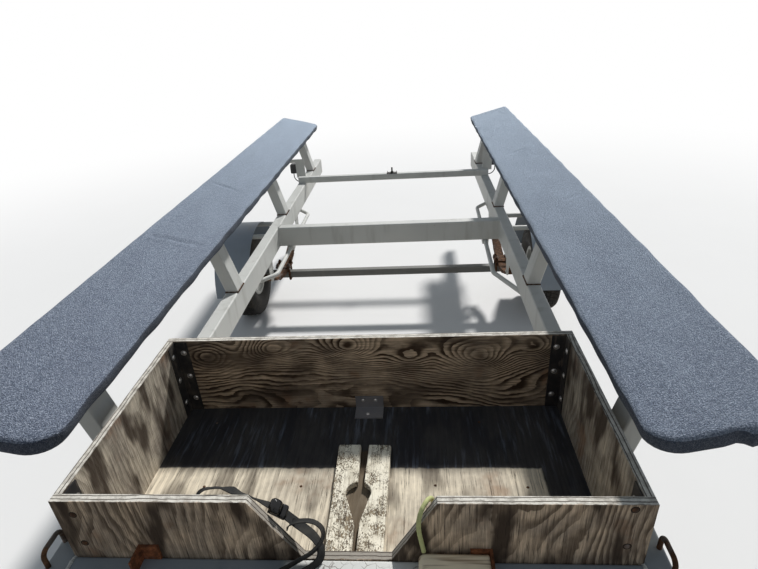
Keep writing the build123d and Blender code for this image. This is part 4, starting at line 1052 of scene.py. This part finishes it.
# %% Fasteners of the box
UP, FRONT = (0, 0, 1), (0, -1, 0)
PANEL_BOLTS = [(-0.522, 0.702), (-0.525, 0.620), (0.520, 0.7265), (0.521, 0.629)]
FLOOR_NAILS = [(-0.397, -0.596), (-0.151, -0.594), (-0.442, -0.367), (0.180, -0.590), (0.400, -0.595),
               (0.31, -0.37)]
ANGLE_WALL = 0.003
SIDE_PLY = 0.018
BOLT_HEIGHTS = (0.045, 0.125, 0.205)
BOLT_INSET = 0.024
CLIP_WALL = 0.003
inner_low, inner_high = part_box("box_floor")
floor_top = inner_high.z
angle_bolts = []
for height in BOLT_HEIGHTS:
    z = floor_top + height
    for x, inwards in ((inner_low.x, 1), (inner_high.x, -1)):
        for y, towards in ((inner_low.y, 1), (inner_high.y, -1)):
            angle_bolts += [
                ((x + inwards * ANGLE_WALL, y + towards * BOLT_INSET, z), (inwards, 0, 0)),
                ((x + inwards * BOLT_INSET, y + towards * ANGLE_WALL, z), (0, towards, 0)),
                ((x - inwards * SIDE_PLY, y + towards * BOLT_INSET, z), (-inwards, 0, 0)),
            ]
panel_bolts = [((x, panel_front, z), FRONT) for x, z in PANEL_BOLTS]
nails = [((x, y, floor_top), UP) for x, y in FLOOR_NAILS]
clip_low, clip_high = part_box("floor_clip")
clip_screws = [((x, clip_high.y - CLIP_WALL, floor_top + 0.028), FRONT) for x in (-0.018, 0.018)]
clip_screws.append(((-0.004, clip_low.y + 0.018, floor_top + CLIP_WALL), UP))
for name, slot, tree, rows, *sizes in (
    ("angle_bolts", "plated_steel", dome_head, angle_bolts, 0.0065, 0.0035, 0.0085),
    # The near-black rings round the panel bolts are painted shade.
    ("panel_washers", "rusty_steel", shade_ring_dome, panel_bolts, 0.003, 0.001, 0.0082),
    ("panel_bolts", "rusty_steel", rusty_dome, panel_bolts, 0.0056, 0.0024, 0.003),
    ("floor_nails", "rusty_steel", rusty_dome, nails, 0.0032, 0.0016, 0.0036),
    ("clip_screws", "plated_steel", dome_head, clip_screws, 0.0045, 0.0025, 0.006),
):
    heads(name, "trailer", slot, tree, rows, *sizes)

# %% [markdown]
# Below, the axle hangs from U-bolts whose nuts sit on the spring plates, and each wheel is held by four lug
# nuts. The nuts on a wheel turn with it, so they are a piece of their own on each wheel's body.

# %% Nuts of the axle and the wheels
CLAMP_ROD = 0.012
ROD_END = 0.018
ROD_GAP = 0.002
SPRING_HALF = 0.02225
LUG_CIRCLE = 0.0508
LUG_COUNT = 4
DISC_WALL = 0.004


def round_x(x, y, z, radius, angle):
    """Point on a circle about an axis that runs along X."""
    return x, y + radius * cos(angle), z + radius * sin(angle)


axle_low, axle_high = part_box("axle")
axle_y = (axle_low.y + axle_high.y) / 2
plate_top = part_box("spring_clamps")[1].z - ROD_END
spring_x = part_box("leaf_springs")[1].x - SPRING_HALF
rod_y = (axle_high.y - axle_low.y) / 2 + CLAMP_ROD / 2
rod_x = SPRING_HALF + CLAMP_ROD / 2 + ROD_GAP
nuts = [
    ((side * spring_x + dx, axle_y + dy, plate_top), UP)
    for _, side in sides
    for dx in (-rod_x, rod_x)
    for dy in (-rod_y, rod_y)
]
heads("clamp_nuts", "trailer", "rusty_steel", rusty_hex, nuts, 0.0105, 0.010, 0.0125)
for name, side in sides:
    low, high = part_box(f"rim_{name}")
    disc_x = (low.x + high.x) / 2 + side * DISC_WALL
    wheel_z = (low.z + high.z) / 2
    angles = [2 * pi * count / LUG_COUNT + pi / 4 for count in range(LUG_COUNT)]
    lugs = [(round_x(disc_x, axle_y, wheel_z, LUG_CIRCLE, angle), (side, 0, 0)) for angle in angles]
    heads(f"lug_nuts_{name}", f"wheel_{name}", "plated_steel", hex_head, lugs, 0.011, 0.016, 0.0125)

# %% [markdown]
# A tyre's tread is blocks that repeat round it, which is work for Geometry Nodes. The CAD tyre is smooth, so a
# lathed copy with a lower crown carries the blocks: five ribs across, each cut into short blocks and shifted
# against its neighbours. The sidewall keeps the bulge of the CAD tyre and gets a thin raised ring.

# %% Section of a tyre
TREAD_DEPTH = 0.006
TYRE_SEGMENTS = 96
RIM_FLANGE_GAP = 0.0008
FLANGE_HEIGHT = 0.0125
BEAD_INSET = 0.0038


def lathe(name, profile, centre):
    """Solid of revolution about X from rows of x and radius, closed on itself."""
    shape = bmesh.new()
    rings = []
    for step in range(TYRE_SEGMENTS):
        angle = 2 * pi * step / TYRE_SEGMENTS
        points = [round_x(centre.x + x, centre.y, centre.z, radius, angle) for x, radius in profile]
        rings.append([shape.verts.new(point) for point in points])
    for first, second in zip(rings, rings[1:] + rings[:1]):
        for a, b, c, d in zip(first, first[1:] + first[:1], second[1:] + second[:1], second):
            shape.faces.new((a, b, c, d))
    return mesh_of(shape, name)


def tyre_profile(half, crown, bead, flange_top, bead_half):
    """Half the section from the bead to the crown, then mirrored: rows of x and radius."""
    shoulder = half * 0.80
    bulge = (bead + crown) / 2
    side_wall = [
        (bead_half, bead),
        (bead_half, flange_top),
        (bead_half + (half - bead_half) * 0.55, flange_top + (bulge - flange_top) * 0.30),
        (half - 0.0022, bulge - 0.020),
        (half - 0.0006, bulge - 0.012),
        (half, bulge),
        (half - 0.0006, bulge + 0.010),
        (half - 0.0030, bulge + 0.019),
        (half - 0.0015, bulge + 0.022),
        (half - 0.0045, bulge + 0.030),
        (shoulder + 0.0045, crown - TREAD_DEPTH - 0.0075),
        (shoulder, crown - TREAD_DEPTH - 0.0035),
        (shoulder * 0.7, crown - TREAD_DEPTH - 0.0012),
        (shoulder * 0.35, crown - TREAD_DEPTH),
    ]
    return side_wall + [(-x, radius) for x, radius in reversed(side_wall)]


# %% [markdown]
# Every block stands on a point at its own angle. The outer ribs lie a little lower, as the tread rounds off
# towards its shoulders, and each rib is shifted by a third of a block against the next.

# %% Tread and tyres
TREAD_BLOCKS = 54
RIB_WIDTH = 0.017
RIB_PITCH = 0.0215
RIB_SHIFT = 0.33
SHOULDER_DROP = 0.0042
BLOCK_SINK = 0.0004


def tread_tree(material):
    """Tree that puts a block of rubber on every point, long side round the tyre."""
    pattern = Pattern("tread_blocks", Length=0.022, Width=RIB_WIDTH, Depth=TREAD_DEPTH)
    across = pattern.node("ShaderNodeCombineXYZ", {"X": 1.0})
    sockets = {"Rotation": pattern.upright(), "Vector": across}
    turn = pattern.node("FunctionNodeAlignRotationToVector", sockets, axis="X", pivot_axis="Z")
    width, length, depth = (pattern.given(label) for label in ("Width", "Length", "Depth"))
    size = pattern.node("ShaderNodeCombineXYZ", {"X": width, "Y": length, "Z": depth})
    block = pattern.node("GeometryNodeMeshCube", {"Size": size})
    return pattern.spread(material, pattern.given("Geometry"), block, Rotation=turn)


def tread_rows(centre, crown):
    """Place and direction of every block."""
    rows = []
    for rib in range(-2, 3):
        drop = SHOULDER_DROP * (abs(rib) / 2) ** 2
        radius = crown - TREAD_DEPTH * 0.5 - drop - BLOCK_SINK
        for block in range(TREAD_BLOCKS):
            angle = 2 * pi * (block + RIB_SHIFT * (rib % 3)) / TREAD_BLOCKS
            spot = round_x(centre.x + rib * RIB_PITCH, centre.y, centre.z, radius, angle)
            rows.append((spot, (0, cos(angle), sin(angle))))
    return rows


tread = tread_tree(tyre_rubber)
for name, side in sides:
    low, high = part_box(f"tyre_{name}")
    rim_low, rim_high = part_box(f"rim_{name}")
    centre = Vector(((low.x + high.x) / 2, axle_y, (rim_low.z + rim_high.z) / 2))
    crown = (high.y - low.y) / 2
    flange_top = (rim_high.y - rim_low.y) / 2 + RIM_FLANGE_GAP
    bead_half = (rim_high.x - rim_low.x) / 2 - BEAD_INSET
    profile = tyre_profile((high.x - low.x) / 2, crown, flange_top - FLANGE_HEIGHT, flange_top, bead_half)
    tyre_mesh = lathe(f"treaded_tyre_{name}", profile, centre)
    tyre = keep(tyre_mesh, f"treaded_tyre_{name}", f"wheel_{name}", tyre_rubber)
    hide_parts(f"tyre_{name}")
    rows = tread_rows(centre, crown)
    grown(spots(rows, "tread_spots"), tread, f"tread_{name}", f"wheel_{name}", "tyre", smooth=False)

# %% [markdown]
# Welds are the other thing that repeats: a row of small overlapping ripples along each joint. A mesh of edges
# says where the joints run. The tree turns it into curves, spaces points along them, and puts a low ball on
# each one. Where the posts meet the rails, the welds were never painted well and have rusted.

# %% Weld beads
def weld_tree(name, material):
    pattern = Pattern(name, Pitch=0.004, Radius=0.0042)
    pitch, radius = pattern.given("Pitch"), pattern.given("Radius")
    curve = pattern.node("GeometryNodeMeshToCurve", {0: pattern.given("Geometry")})
    points = pattern.node("GeometryNodeCurveToPoints", {"Curve": curve, "Length": pitch}, mode="LENGTH")
    ball = pattern.node("GeometryNodeMeshUVSphere", {"Segments": 7, "Rings": 5, "Radius": radius})
    wobble = pattern.node("FunctionNodeRandomValue", {2: 0.8, 3: 1.15, "Seed": 4}, 1, data_type="FLOAT")
    return pattern.spread(material, points, ball, Scale=wobble)


def runs(paths, name):
    """Mesh of separate runs of edges, one for each list of points."""
    mesh = bpy.data.meshes.new(name)
    points, edges = [], []
    for path in paths:
        first = len(points)
        points.extend(path)
        edges.extend((first + i, first + i + 1) for i in range(len(path) - 1))
    mesh.from_pydata(points, edges, [])
    return mesh


# %% [markdown]
# The joints are read from the boxes of the parts that meet: both faces and the top of each crossmember at the
# rails, the ends of the rear bar, and three sides of every post's foot.

# %% Joints
WELD_END = 0.006
FIRST_POST = 0.285
POST_COUNT = 4
POST_PITCH = 0.890
POST_DEPTH = 0.0762
POST_WIDTH = 0.049
rail_in, rail_out = (corner.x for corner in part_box("rail_right"))
rail_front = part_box("rail_right")[0].y
painted_joints, rusty_joints = [], []
for node in ("front_crossmember", "mid_crossmember", "box_crossmember"):
    low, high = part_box(node)
    for _, side in sides:
        x = side * (rail_in - 0.001)
        for y in (low.y, high.y):
            painted_joints.append([(x, y, frame_bottom + WELD_END), (x, y, frame_top - 0.004)])
        painted_joints.append([(x, low.y + WELD_END, frame_top), (x, high.y - WELD_END, frame_top)])
for _, side in sides:
    inner, outer = side * (rail_in + WELD_END), side * (rail_out - 0.008)
    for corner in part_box("rear_bar"):
        painted_joints.append([(inner, corner.y, frame_top), (outer, corner.y, frame_top)])
for _, side in sides:
    inner, outer = (side * ((rail_in + rail_out) / 2 + half) for half in (-POST_WIDTH / 2, POST_WIDTH / 2))
    z = frame_top + 0.0005
    for number in range(POST_COUNT):
        near = rail_front + FIRST_POST + number * POST_PITCH
        far = near + POST_DEPTH
        rusty_joints += [
            [(inner, near, z), (outer, near, z)],
            [(inner, far, z), (outer, far, z)],
            [(inner, near, z), (inner, far, z)],
        ]
grown(runs(painted_joints, "joints"), weld_tree("painted_weld", paint), "frame_welds", "trailer", "grey_paint")
grown(runs(rusty_joints, "joints"), weld_tree("rusty_weld", worn_rust), "post_welds", "trailer", "rusty_steel",
      Radius=0.0036)

# %% [markdown]
# The tail lamps face backwards: a black housing that the CAD model has, and a red lens, made here as a shallow
# block with rounded edges.

# %% Lamp lenses
LAMP_WIDTH = 0.052
LAMP_HEIGHT = 0.060
LENS_BORDER = 0.003
LENS_THICKNESS = 0.006


def cushion_block(name, centre, size, rounding, segments=3):
    """Block with rounded edges, from its middle and its size."""
    shape = bmesh.new()
    bmesh.ops.create_cube(shape, size=1.0)
    bmesh.ops.scale(shape, vec=size, verts=shape.verts)
    bmesh.ops.bevel(shape, geom=shape.edges[:], offset=rounding, segments=segments, affect="EDGES", profile=0.5)
    bmesh.ops.translate(shape, verts=shape.verts, vec=centre)
    return mesh_of(shape, name)


lamps_low, lamps_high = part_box("lamps")
lamp_z = (lamps_low.z + lamps_high.z) / 2
lens_size = (LAMP_WIDTH - 2 * LENS_BORDER, LENS_THICKNESS, LAMP_HEIGHT - 2 * LENS_BORDER)
for name, side in sides:
    outer = lamps_high.x if side > 0 else lamps_low.x
    middle = (outer - side * LAMP_WIDTH / 2, lamps_high.y - 0.0005, lamp_z)
    mesh = cushion_block(f"lamp_lens_{name}", middle, lens_size, 0.0024)
    keep(mesh, f"lamp_lens_{name}", "trailer", red_lens)
print("lens", lens_size)

# %% [markdown]
# A rope and a black strap were left hanging over the front panel. Each is drawn as the line that its middle
# follows: a few listed points, made smooth by a NURBS spline of order 3, which rounds every corner evenly, as
# something soft does. The points are offsets from an upper corner of the notch, from the panel's front face and
# from the frame's top.

# %% Routes of the rope, the strap and its tail
NOTCH_HALF = 0.176
ROPE_ROUTE = [
    (-0.027, -0.0048, 0.0346), (-0.031, -0.0054, 0.062), (-0.0345, -0.0064, 0.088), (-0.0354, -0.0058, 0.111),
    (-0.0334, -0.0025, 0.126), (-0.0282, 0.0066, 0.136), (-0.021, 0.019, 0.1397), (-0.0138, 0.0314, 0.136),
    (-0.0086, 0.0405, 0.1254), (-0.0065, 0.044, 0.108), (-0.005, 0.045, 0.084), (-0.003, 0.0456, 0.056),
    (0.0, 0.045, 0.026), (0.004, 0.045, -0.006), (0.011, 0.046, -0.036), (0.023, 0.048, -0.059),
    (0.041, 0.050, -0.073), (0.064, 0.051, -0.0786), (0.091, 0.050, -0.0786), (0.120, 0.048, -0.0786),
    (0.150, 0.049, -0.0786),
]
STRAP_ROUTE = [
    (-0.186, 0.086, -0.0806), (-0.168, 0.073, -0.0806), (-0.156, 0.060, -0.068), (-0.144, 0.047, -0.040),
    (-0.136, 0.040, -0.004), (-0.128, 0.036, 0.034), (-0.123, 0.034, 0.072), (-0.119, 0.034, 0.109),
    (-0.110, 0.033, 0.138), (-0.089, 0.033, 0.156), (-0.062, 0.034, 0.160), (-0.035, 0.034, 0.152),
    (-0.010, 0.035, 0.137), (0.011, 0.036, 0.120), (0.030, 0.037, 0.106), (0.048, 0.038, 0.091),
    (0.068, 0.035, 0.070), (0.088, 0.029, 0.056), (0.108, 0.020, 0.047), (0.123, 0.008, 0.037),
    (0.1285, -0.004, 0.023), (0.122, -0.013, 0.011), (0.110, -0.023, 0.0055), (0.099, -0.033, 0.005),
    (0.092, -0.045, 0.010), (0.082, -0.060, 0.005), (0.077, -0.066, -0.014), (0.074, -0.066, -0.042),
    (0.072, -0.065, -0.076), (0.071, -0.065, -0.112), (0.069, -0.064, -0.148),
]
TAIL_ROUTE = [
    (0.0625, 0.0300, 0.0600), (0.068, 0.024, 0.073), (0.079, 0.018, 0.084), (0.094, 0.013, 0.094),
    (0.109, 0.009, 0.100), (0.123, 0.006, 0.0995), (0.133, 0.0035, 0.090), (0.136, 0.001, 0.076),
    (0.132, -0.002, 0.060), (0.123, -0.005, 0.045), (0.110, -0.010, 0.032), (0.092, -0.015, 0.023),
    (0.073, -0.022, 0.016), (0.056, -0.031, 0.012), (0.043, -0.043, 0.012), (0.034, -0.058, 0.006),
    (0.030, -0.066, -0.012), (0.028, -0.066, -0.040), (0.026, -0.065, -0.072), (0.025, -0.064, -0.106),
]
print("points", len(ROPE_ROUTE), len(STRAP_ROUTE), len(TAIL_ROUTE))

# %% [markdown]
# Blender turns each spline into closely spaced points, and the skin is built round those: a ring of points at
# every point of the line, and faces between one ring and the next.

# %% Smooth lines and their skin
LINE_STEPS = 14


def smooth_line(corner, route):
    """Closely spaced points along the smooth line of a route that starts from x = corner."""
    curve = bpy.data.curves.new("line", "CURVE")
    curve.dimensions = "3D"
    spline = curve.splines.new("NURBS")
    spline.points.add(len(route) - 1)
    for control, (x, y, z) in zip(spline.points, route):
        control.co = (corner + x, panel_front + y, frame_top + z, 1.0)
    spline.order_u = 3
    spline.use_endpoint_u = True
    spline.resolution_u = LINE_STEPS
    holder = bpy.data.objects.new("line", curve)
    mesh = bpy.data.meshes.new_from_object(holder)
    line = np.array([vertex.co for vertex in mesh.vertices])
    bpy.data.objects.remove(holder)
    return line


def unit(rows):
    return rows / np.linalg.norm(rows, axis=1)[:, None]


def travelled(line):
    """Distance along the line at each of its points."""
    return np.concatenate([[0], np.cumsum(np.linalg.norm(np.diff(line, axis=0), axis=1))])


def length_of(line):
    return float(travelled(line)[-1])


def skinned(name, rings):
    """Closed skin over rings of points, which all have the same number of points."""
    count, around = rings.shape[:2]
    faces = [tuple(reversed(range(around))), tuple(range((count - 1) * around, count * around))]
    for ring in range(count - 1):
        for step in range(around):
            a, b = ring * around + step, ring * around + (step + 1) % around
            faces.append((a, b, b + around, a + around))
    mesh = bpy.data.meshes.new(name)
    mesh.from_pydata(rings.reshape(-1, 3).tolist(), [], faces)
    return mesh


rope_line = smooth_line(NOTCH_HALF, ROPE_ROUTE)
strap_line = smooth_line(-NOTCH_HALF, STRAP_ROUTE)
tail_line = smooth_line(-NOTCH_HALF, TAIL_ROUTE)
print("lengths", [round(length_of(line), 3) for line in (rope_line, strap_line, tail_line)])

# %% [markdown]
# The rope is braided: its radius swells where two strands cross, and the crossings run round it in diamonds.
# To lay rings round a bending line without twisting them, each ring takes the sideways direction of the ring
# before it and turns it just enough to stay square to the line.

# %% Braided rope
ROPE_DIAMETER = 0.009
ROPE_AROUND = 24
BRAID_STRANDS = 5
BRAID_PITCH = 0.024


def braid(name, line, radius):
    angles = np.arange(ROPE_AROUND) * 2 * pi / ROPE_AROUND
    directions = unit(np.gradient(line, axis=0))
    sideways = np.cross(directions[0], (0.0, 1.0, 0.0))
    rings = []
    for point, direction, distance in zip(line, directions, travelled(line)):
        sideways = sideways - direction * (sideways @ direction)
        sideways = sideways / np.linalg.norm(sideways)
        other = np.cross(direction, sideways)
        turned = 2 * pi * distance / BRAID_PITCH
        crossing = np.cos(BRAID_STRANDS * angles + turned) * np.cos(BRAID_STRANDS * angles - turned)
        swollen = radius * (0.95 + 0.07 * crossing)
        ring = point + np.outer(np.cos(angles) * swollen, sideways) + np.outer(np.sin(angles) * swollen, other)
        rings.append(ring)
    return skinned(name, np.array(rings))


rope_mesh = braid("hanging_rope", rope_line, ROPE_DIAMETER / 2)
rope = keep(rope_mesh, "hanging_rope", "trailer", rope_fibre)
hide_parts("rope")
print(rope.name, len(rope_mesh.polygons), "faces")

# %% [markdown]
# Webbing is flat, so its line isn't enough: it also twists. The direction across the strap is given at a few
# shares of its length. The arch stands nearly on edge to the eye, the stretch from the buckle lies broad, and
# the end hangs flat against the crossmember. A section with two thick edges and a thin middle is what the woven
# selvedges of such a strap look like.

# %% Section and twist of the webbing
STRAP_WIDTH = 0.025
STRAP_THICKNESS = 0.0018
SECTION = np.array([
    (-1.0, 0.0), (-0.95, 1.0), (-0.84, 0.75), (0.0, 0.6), (0.84, 0.75), (0.95, 1.0),
    (1.0, 0.0), (0.95, -1.0), (0.84, -0.75), (0.0, -0.6), (-0.84, -0.75), (-0.95, -1.0),
])
STRAP_ACROSS = {
    0.00: (0.55, 0.75, 0.0), 0.12: (-0.7, 0.7, 0.0), 0.25: (-0.20, 0.97, 0.12), 0.30: (0.18, 0.80, -0.56),
    0.335: (-0.10, 0.70, -0.70), 0.362: (-0.14, 0.95, -0.27), 0.385: (-0.42, 0.69, -0.59),
    0.42: (-0.47, 0.69, -0.55), 0.455: (-0.31, 0.89, -0.35), 0.483: (-0.18, 0.97, -0.15),
    0.51: (0.02, 1.0, -0.10), 0.56: (0.18, 0.96, -0.21), 0.60: (0.33, 0.88, -0.33),
    0.637: (0.32, 0.79, -0.52), 0.665: (0.40, 0.73, -0.55), 0.69: (0.50, 0.53, -0.69),
    0.72: (0.34, 0.18, -0.92), 0.75: (0.23, -0.10, -0.97), 0.80: (0.33, -0.42, -0.84),
    0.86: (0.95, 0.06, -0.31), 0.90: (0.96, 0.26, -0.10), 1.00: (0.94, 0.34, -0.04),
}
TAIL_ACROSS = {
    0.00: (0.24, 0.92, 0.32), 0.04: (0.59, 0.81, -0.01), 0.10: (0.52, 0.79, -0.32), 0.15: (0.44, 0.78, -0.45),
    0.20: (0.26, 0.77, -0.58), 0.25: (-0.07, 0.80, -0.59), 0.29: (-0.24, 0.88, -0.40),
    0.33: (-0.13, 0.97, -0.21), 0.37: (0.14, 0.97, -0.19), 0.41: (0.35, 0.89, -0.30),
    0.45: (0.45, 0.77, -0.46), 0.50: (0.40, 0.64, -0.65),
    0.55: (0.30, 0.50, -0.81), 0.60: (0.19, 0.45, -0.87), 0.66: (0.04, 0.39, -0.92), 0.72: (-0.12, 0.14, -0.98),
    0.78: (0.48, 0.11, -0.87), 0.84: (0.92, 0.27, -0.29), 0.90: (0.92, 0.38, -0.06), 1.00: (0.90, 0.44, -0.01),
}
print("section", SECTION.shape, "twists", len(STRAP_ACROSS), len(TAIL_ACROSS))

# %% [markdown]
# Between the given shares the direction is blended, and then made square to the line. The section is laid out
# along that direction at every point, and the rings are joined as those of the rope were.

# %% Strap and its tail
def ribbon(name, line, turns):
    """Webbing along a line. turns holds the direction across it at shares of its length."""
    direction = unit(np.gradient(line, axis=0))
    share = np.linspace(0, 1, len(line))
    known = np.array(list(turns.values()))
    across = np.stack([np.interp(share, list(turns), known[:, axis]) for axis in range(3)], axis=1)
    across = unit(across - direction * (across * direction).sum(axis=1)[:, None])
    outward = np.cross(direction, across)
    rings = line[:, None, :] + across[:, None, :] * SECTION[None, :, :1] * STRAP_WIDTH / 2
    rings = rings + outward[:, None, :] * SECTION[None, :, 1:] * STRAP_THICKNESS / 2
    return skinned(name, rings)


strap = keep(ribbon("flat_strap", strap_line, STRAP_ACROSS), "flat_strap", "trailer", webbing)
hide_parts("strap")
tail = keep(ribbon("flat_strap_tail", tail_line, TAIL_ACROSS), "flat_strap_tail", "trailer", webbing)
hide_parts("strap_tail")
print("webbing", strap.name, tail.name)

# %% [markdown]
# The buckle is a cam buckle: a flat base plate, a low bar at its end, and a rounded thumb cam with a raised
# crown. It is built along its own axes and then turned, so that it sits on the strap as the strap runs there.

# %% Buckle
BUCKLE_SHARE = 14.5 / 30
BUCKLE_BROAD = Vector((0.205, 0.939, 0.272))
BUCKLE_PARTS = [
    # middle and size along the strap, across it and outwards, and rounding
    ((0.006, 0.0, 0.0000), (0.038, 0.028, 0.0046), 0.0016),
    ((0.017, 0.0, 0.0050), (0.015, 0.026, 0.0100), 0.0048),
    ((-0.004, 0.0, 0.0090), (0.026, 0.028, 0.0190), 0.0094),
    ((-0.004, 0.0, 0.0150), (0.017, 0.018, 0.0090), 0.0044),
]
at = int(BUCKLE_SHARE * (len(strap_line) - 1))
run = Vector(strap_line[at + 4] - strap_line[at - 4]).normalized()
broad = (BUCKLE_BROAD - run * BUCKLE_BROAD.dot(run)).normalized()
proud = run.cross(broad)
if proud.z < 0:
    proud = -proud
shape = bmesh.new()
for middle, size, rounding in BUCKLE_PARTS:
    block = cushion_block("block", middle, size, rounding, 5)
    shape.from_mesh(block)
    bpy.data.meshes.remove(block)
mesh = mesh_of(shape, "cam_buckle")
mesh.transform(stand(Vector(strap_line[at]), run, broad, proud))
buckle = keep(mesh, "cam_buckle", "trailer", shiny_black)
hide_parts("strap_buckle")
print(buckle.name, "at", [round(c, 3) for c in strap_line[at]])

# %% [markdown]
# The floor is a pale sheet, far larger than the view. Towards the horizon it fades into the white of the world,
# for the camera only. Rays that light the trailer from below meet a darker floor than the one that is seen.

# %% Floor
WHITE = (1.0, 1.0, 1.0)
FADE_START = 2.6
FADE_END = 7.0
FLOOR_REACH = 60.0
FLOOR_SEEN = (0.82, 0.82, 0.82)
FLOOR_BOUNCE = (0.42, 0.40, 0.365)


def floor_finish():
    finish = Finish("studio_floor")
    by_camera = finish.ray("Is Camera Ray")
    seen = finish.larger(by_camera, finish.ray("Is Glossy Ray"))
    seen = finish.larger(seen, finish.ray("Is Transmission Ray"))
    cloud = seen * (1.0 - finish.noise(2.0, 2) * 0.06)
    matte = finish.shader(finish.mixed(cloud, FLOOR_BOUNCE, FLOOR_SEEN), 0.9)
    reach = finish.node("ShaderNodeVectorMath", {0: finish.place}, 1, operation="LENGTH")
    far = finish.step(reach, FADE_START, FADE_END) * by_camera
    white = finish.node("ShaderNodeEmission", {"Color": rgba(WHITE), "Strength": 1.0})
    return finish.close(finish.node("ShaderNodeMixShader", {0: far, 1: matte, 2: white}))


floor_mesh = bpy.data.meshes.new("studio_floor")
corners = [(x * FLOOR_REACH, y * FLOOR_REACH, 0) for x, y in ((-1, -1), (1, -1), (1, 1), (-1, 1))]
floor_mesh.from_pydata(corners, [], [(0, 1, 2, 3)])
floor_mesh.materials.append(floor_finish())
floor = put("studio_floor", floor_mesh)
print("floor", floor.name)

# %% [markdown]
# One broad lamp stands high behind the trailer, a little to the right, so that tops are bright and the faces
# towards the camera rest in soft shade. The world is a soft even light. The camera, mirrors and glass see it
# white, while the light that reaches the trailer from it is dimmer and a little blue, like open sky.

# %% Light
AMBIENT = 0.27
SKY = (0.80, 0.90, 1.0)
LAMP_TOWARDS = Vector((0.42, 0.98, 1.0))

sun_data = bpy.data.lights.new("broad_lamp", "SUN")
sun_data.energy = 3.6
sun_data.angle = radians(5)
sun_data.color = (1.0, 0.98, 0.95)
sun = put("broad_lamp", sun_data)
sun.rotation_euler = LAMP_TOWARDS.to_track_quat("Z", "Y").to_euler()

world = bpy.data.worlds.new("studio")
bpy.context.scene.world = world
world.use_nodes = True
sky = Graph(world.node_tree)
sky.tree.nodes.clear()
seen = sky.ray("Is Camera Ray") + sky.ray("Is Glossy Ray") + sky.ray("Is Transmission Ray")
seen = sky.math("MINIMUM", seen, 1.0)
strength = seen * (1.0 - AMBIENT) + AMBIENT
glow = sky.node("ShaderNodeBackground", {"Color": sky.mixed(seen, SKY, WHITE), "Strength": strength})
sky.node("ShaderNodeOutputWorld", {"Surface": glow})
bpy.context.scene.view_settings.view_transform = "Standard"
print("light", sun_data.energy, "and", AMBIENT)
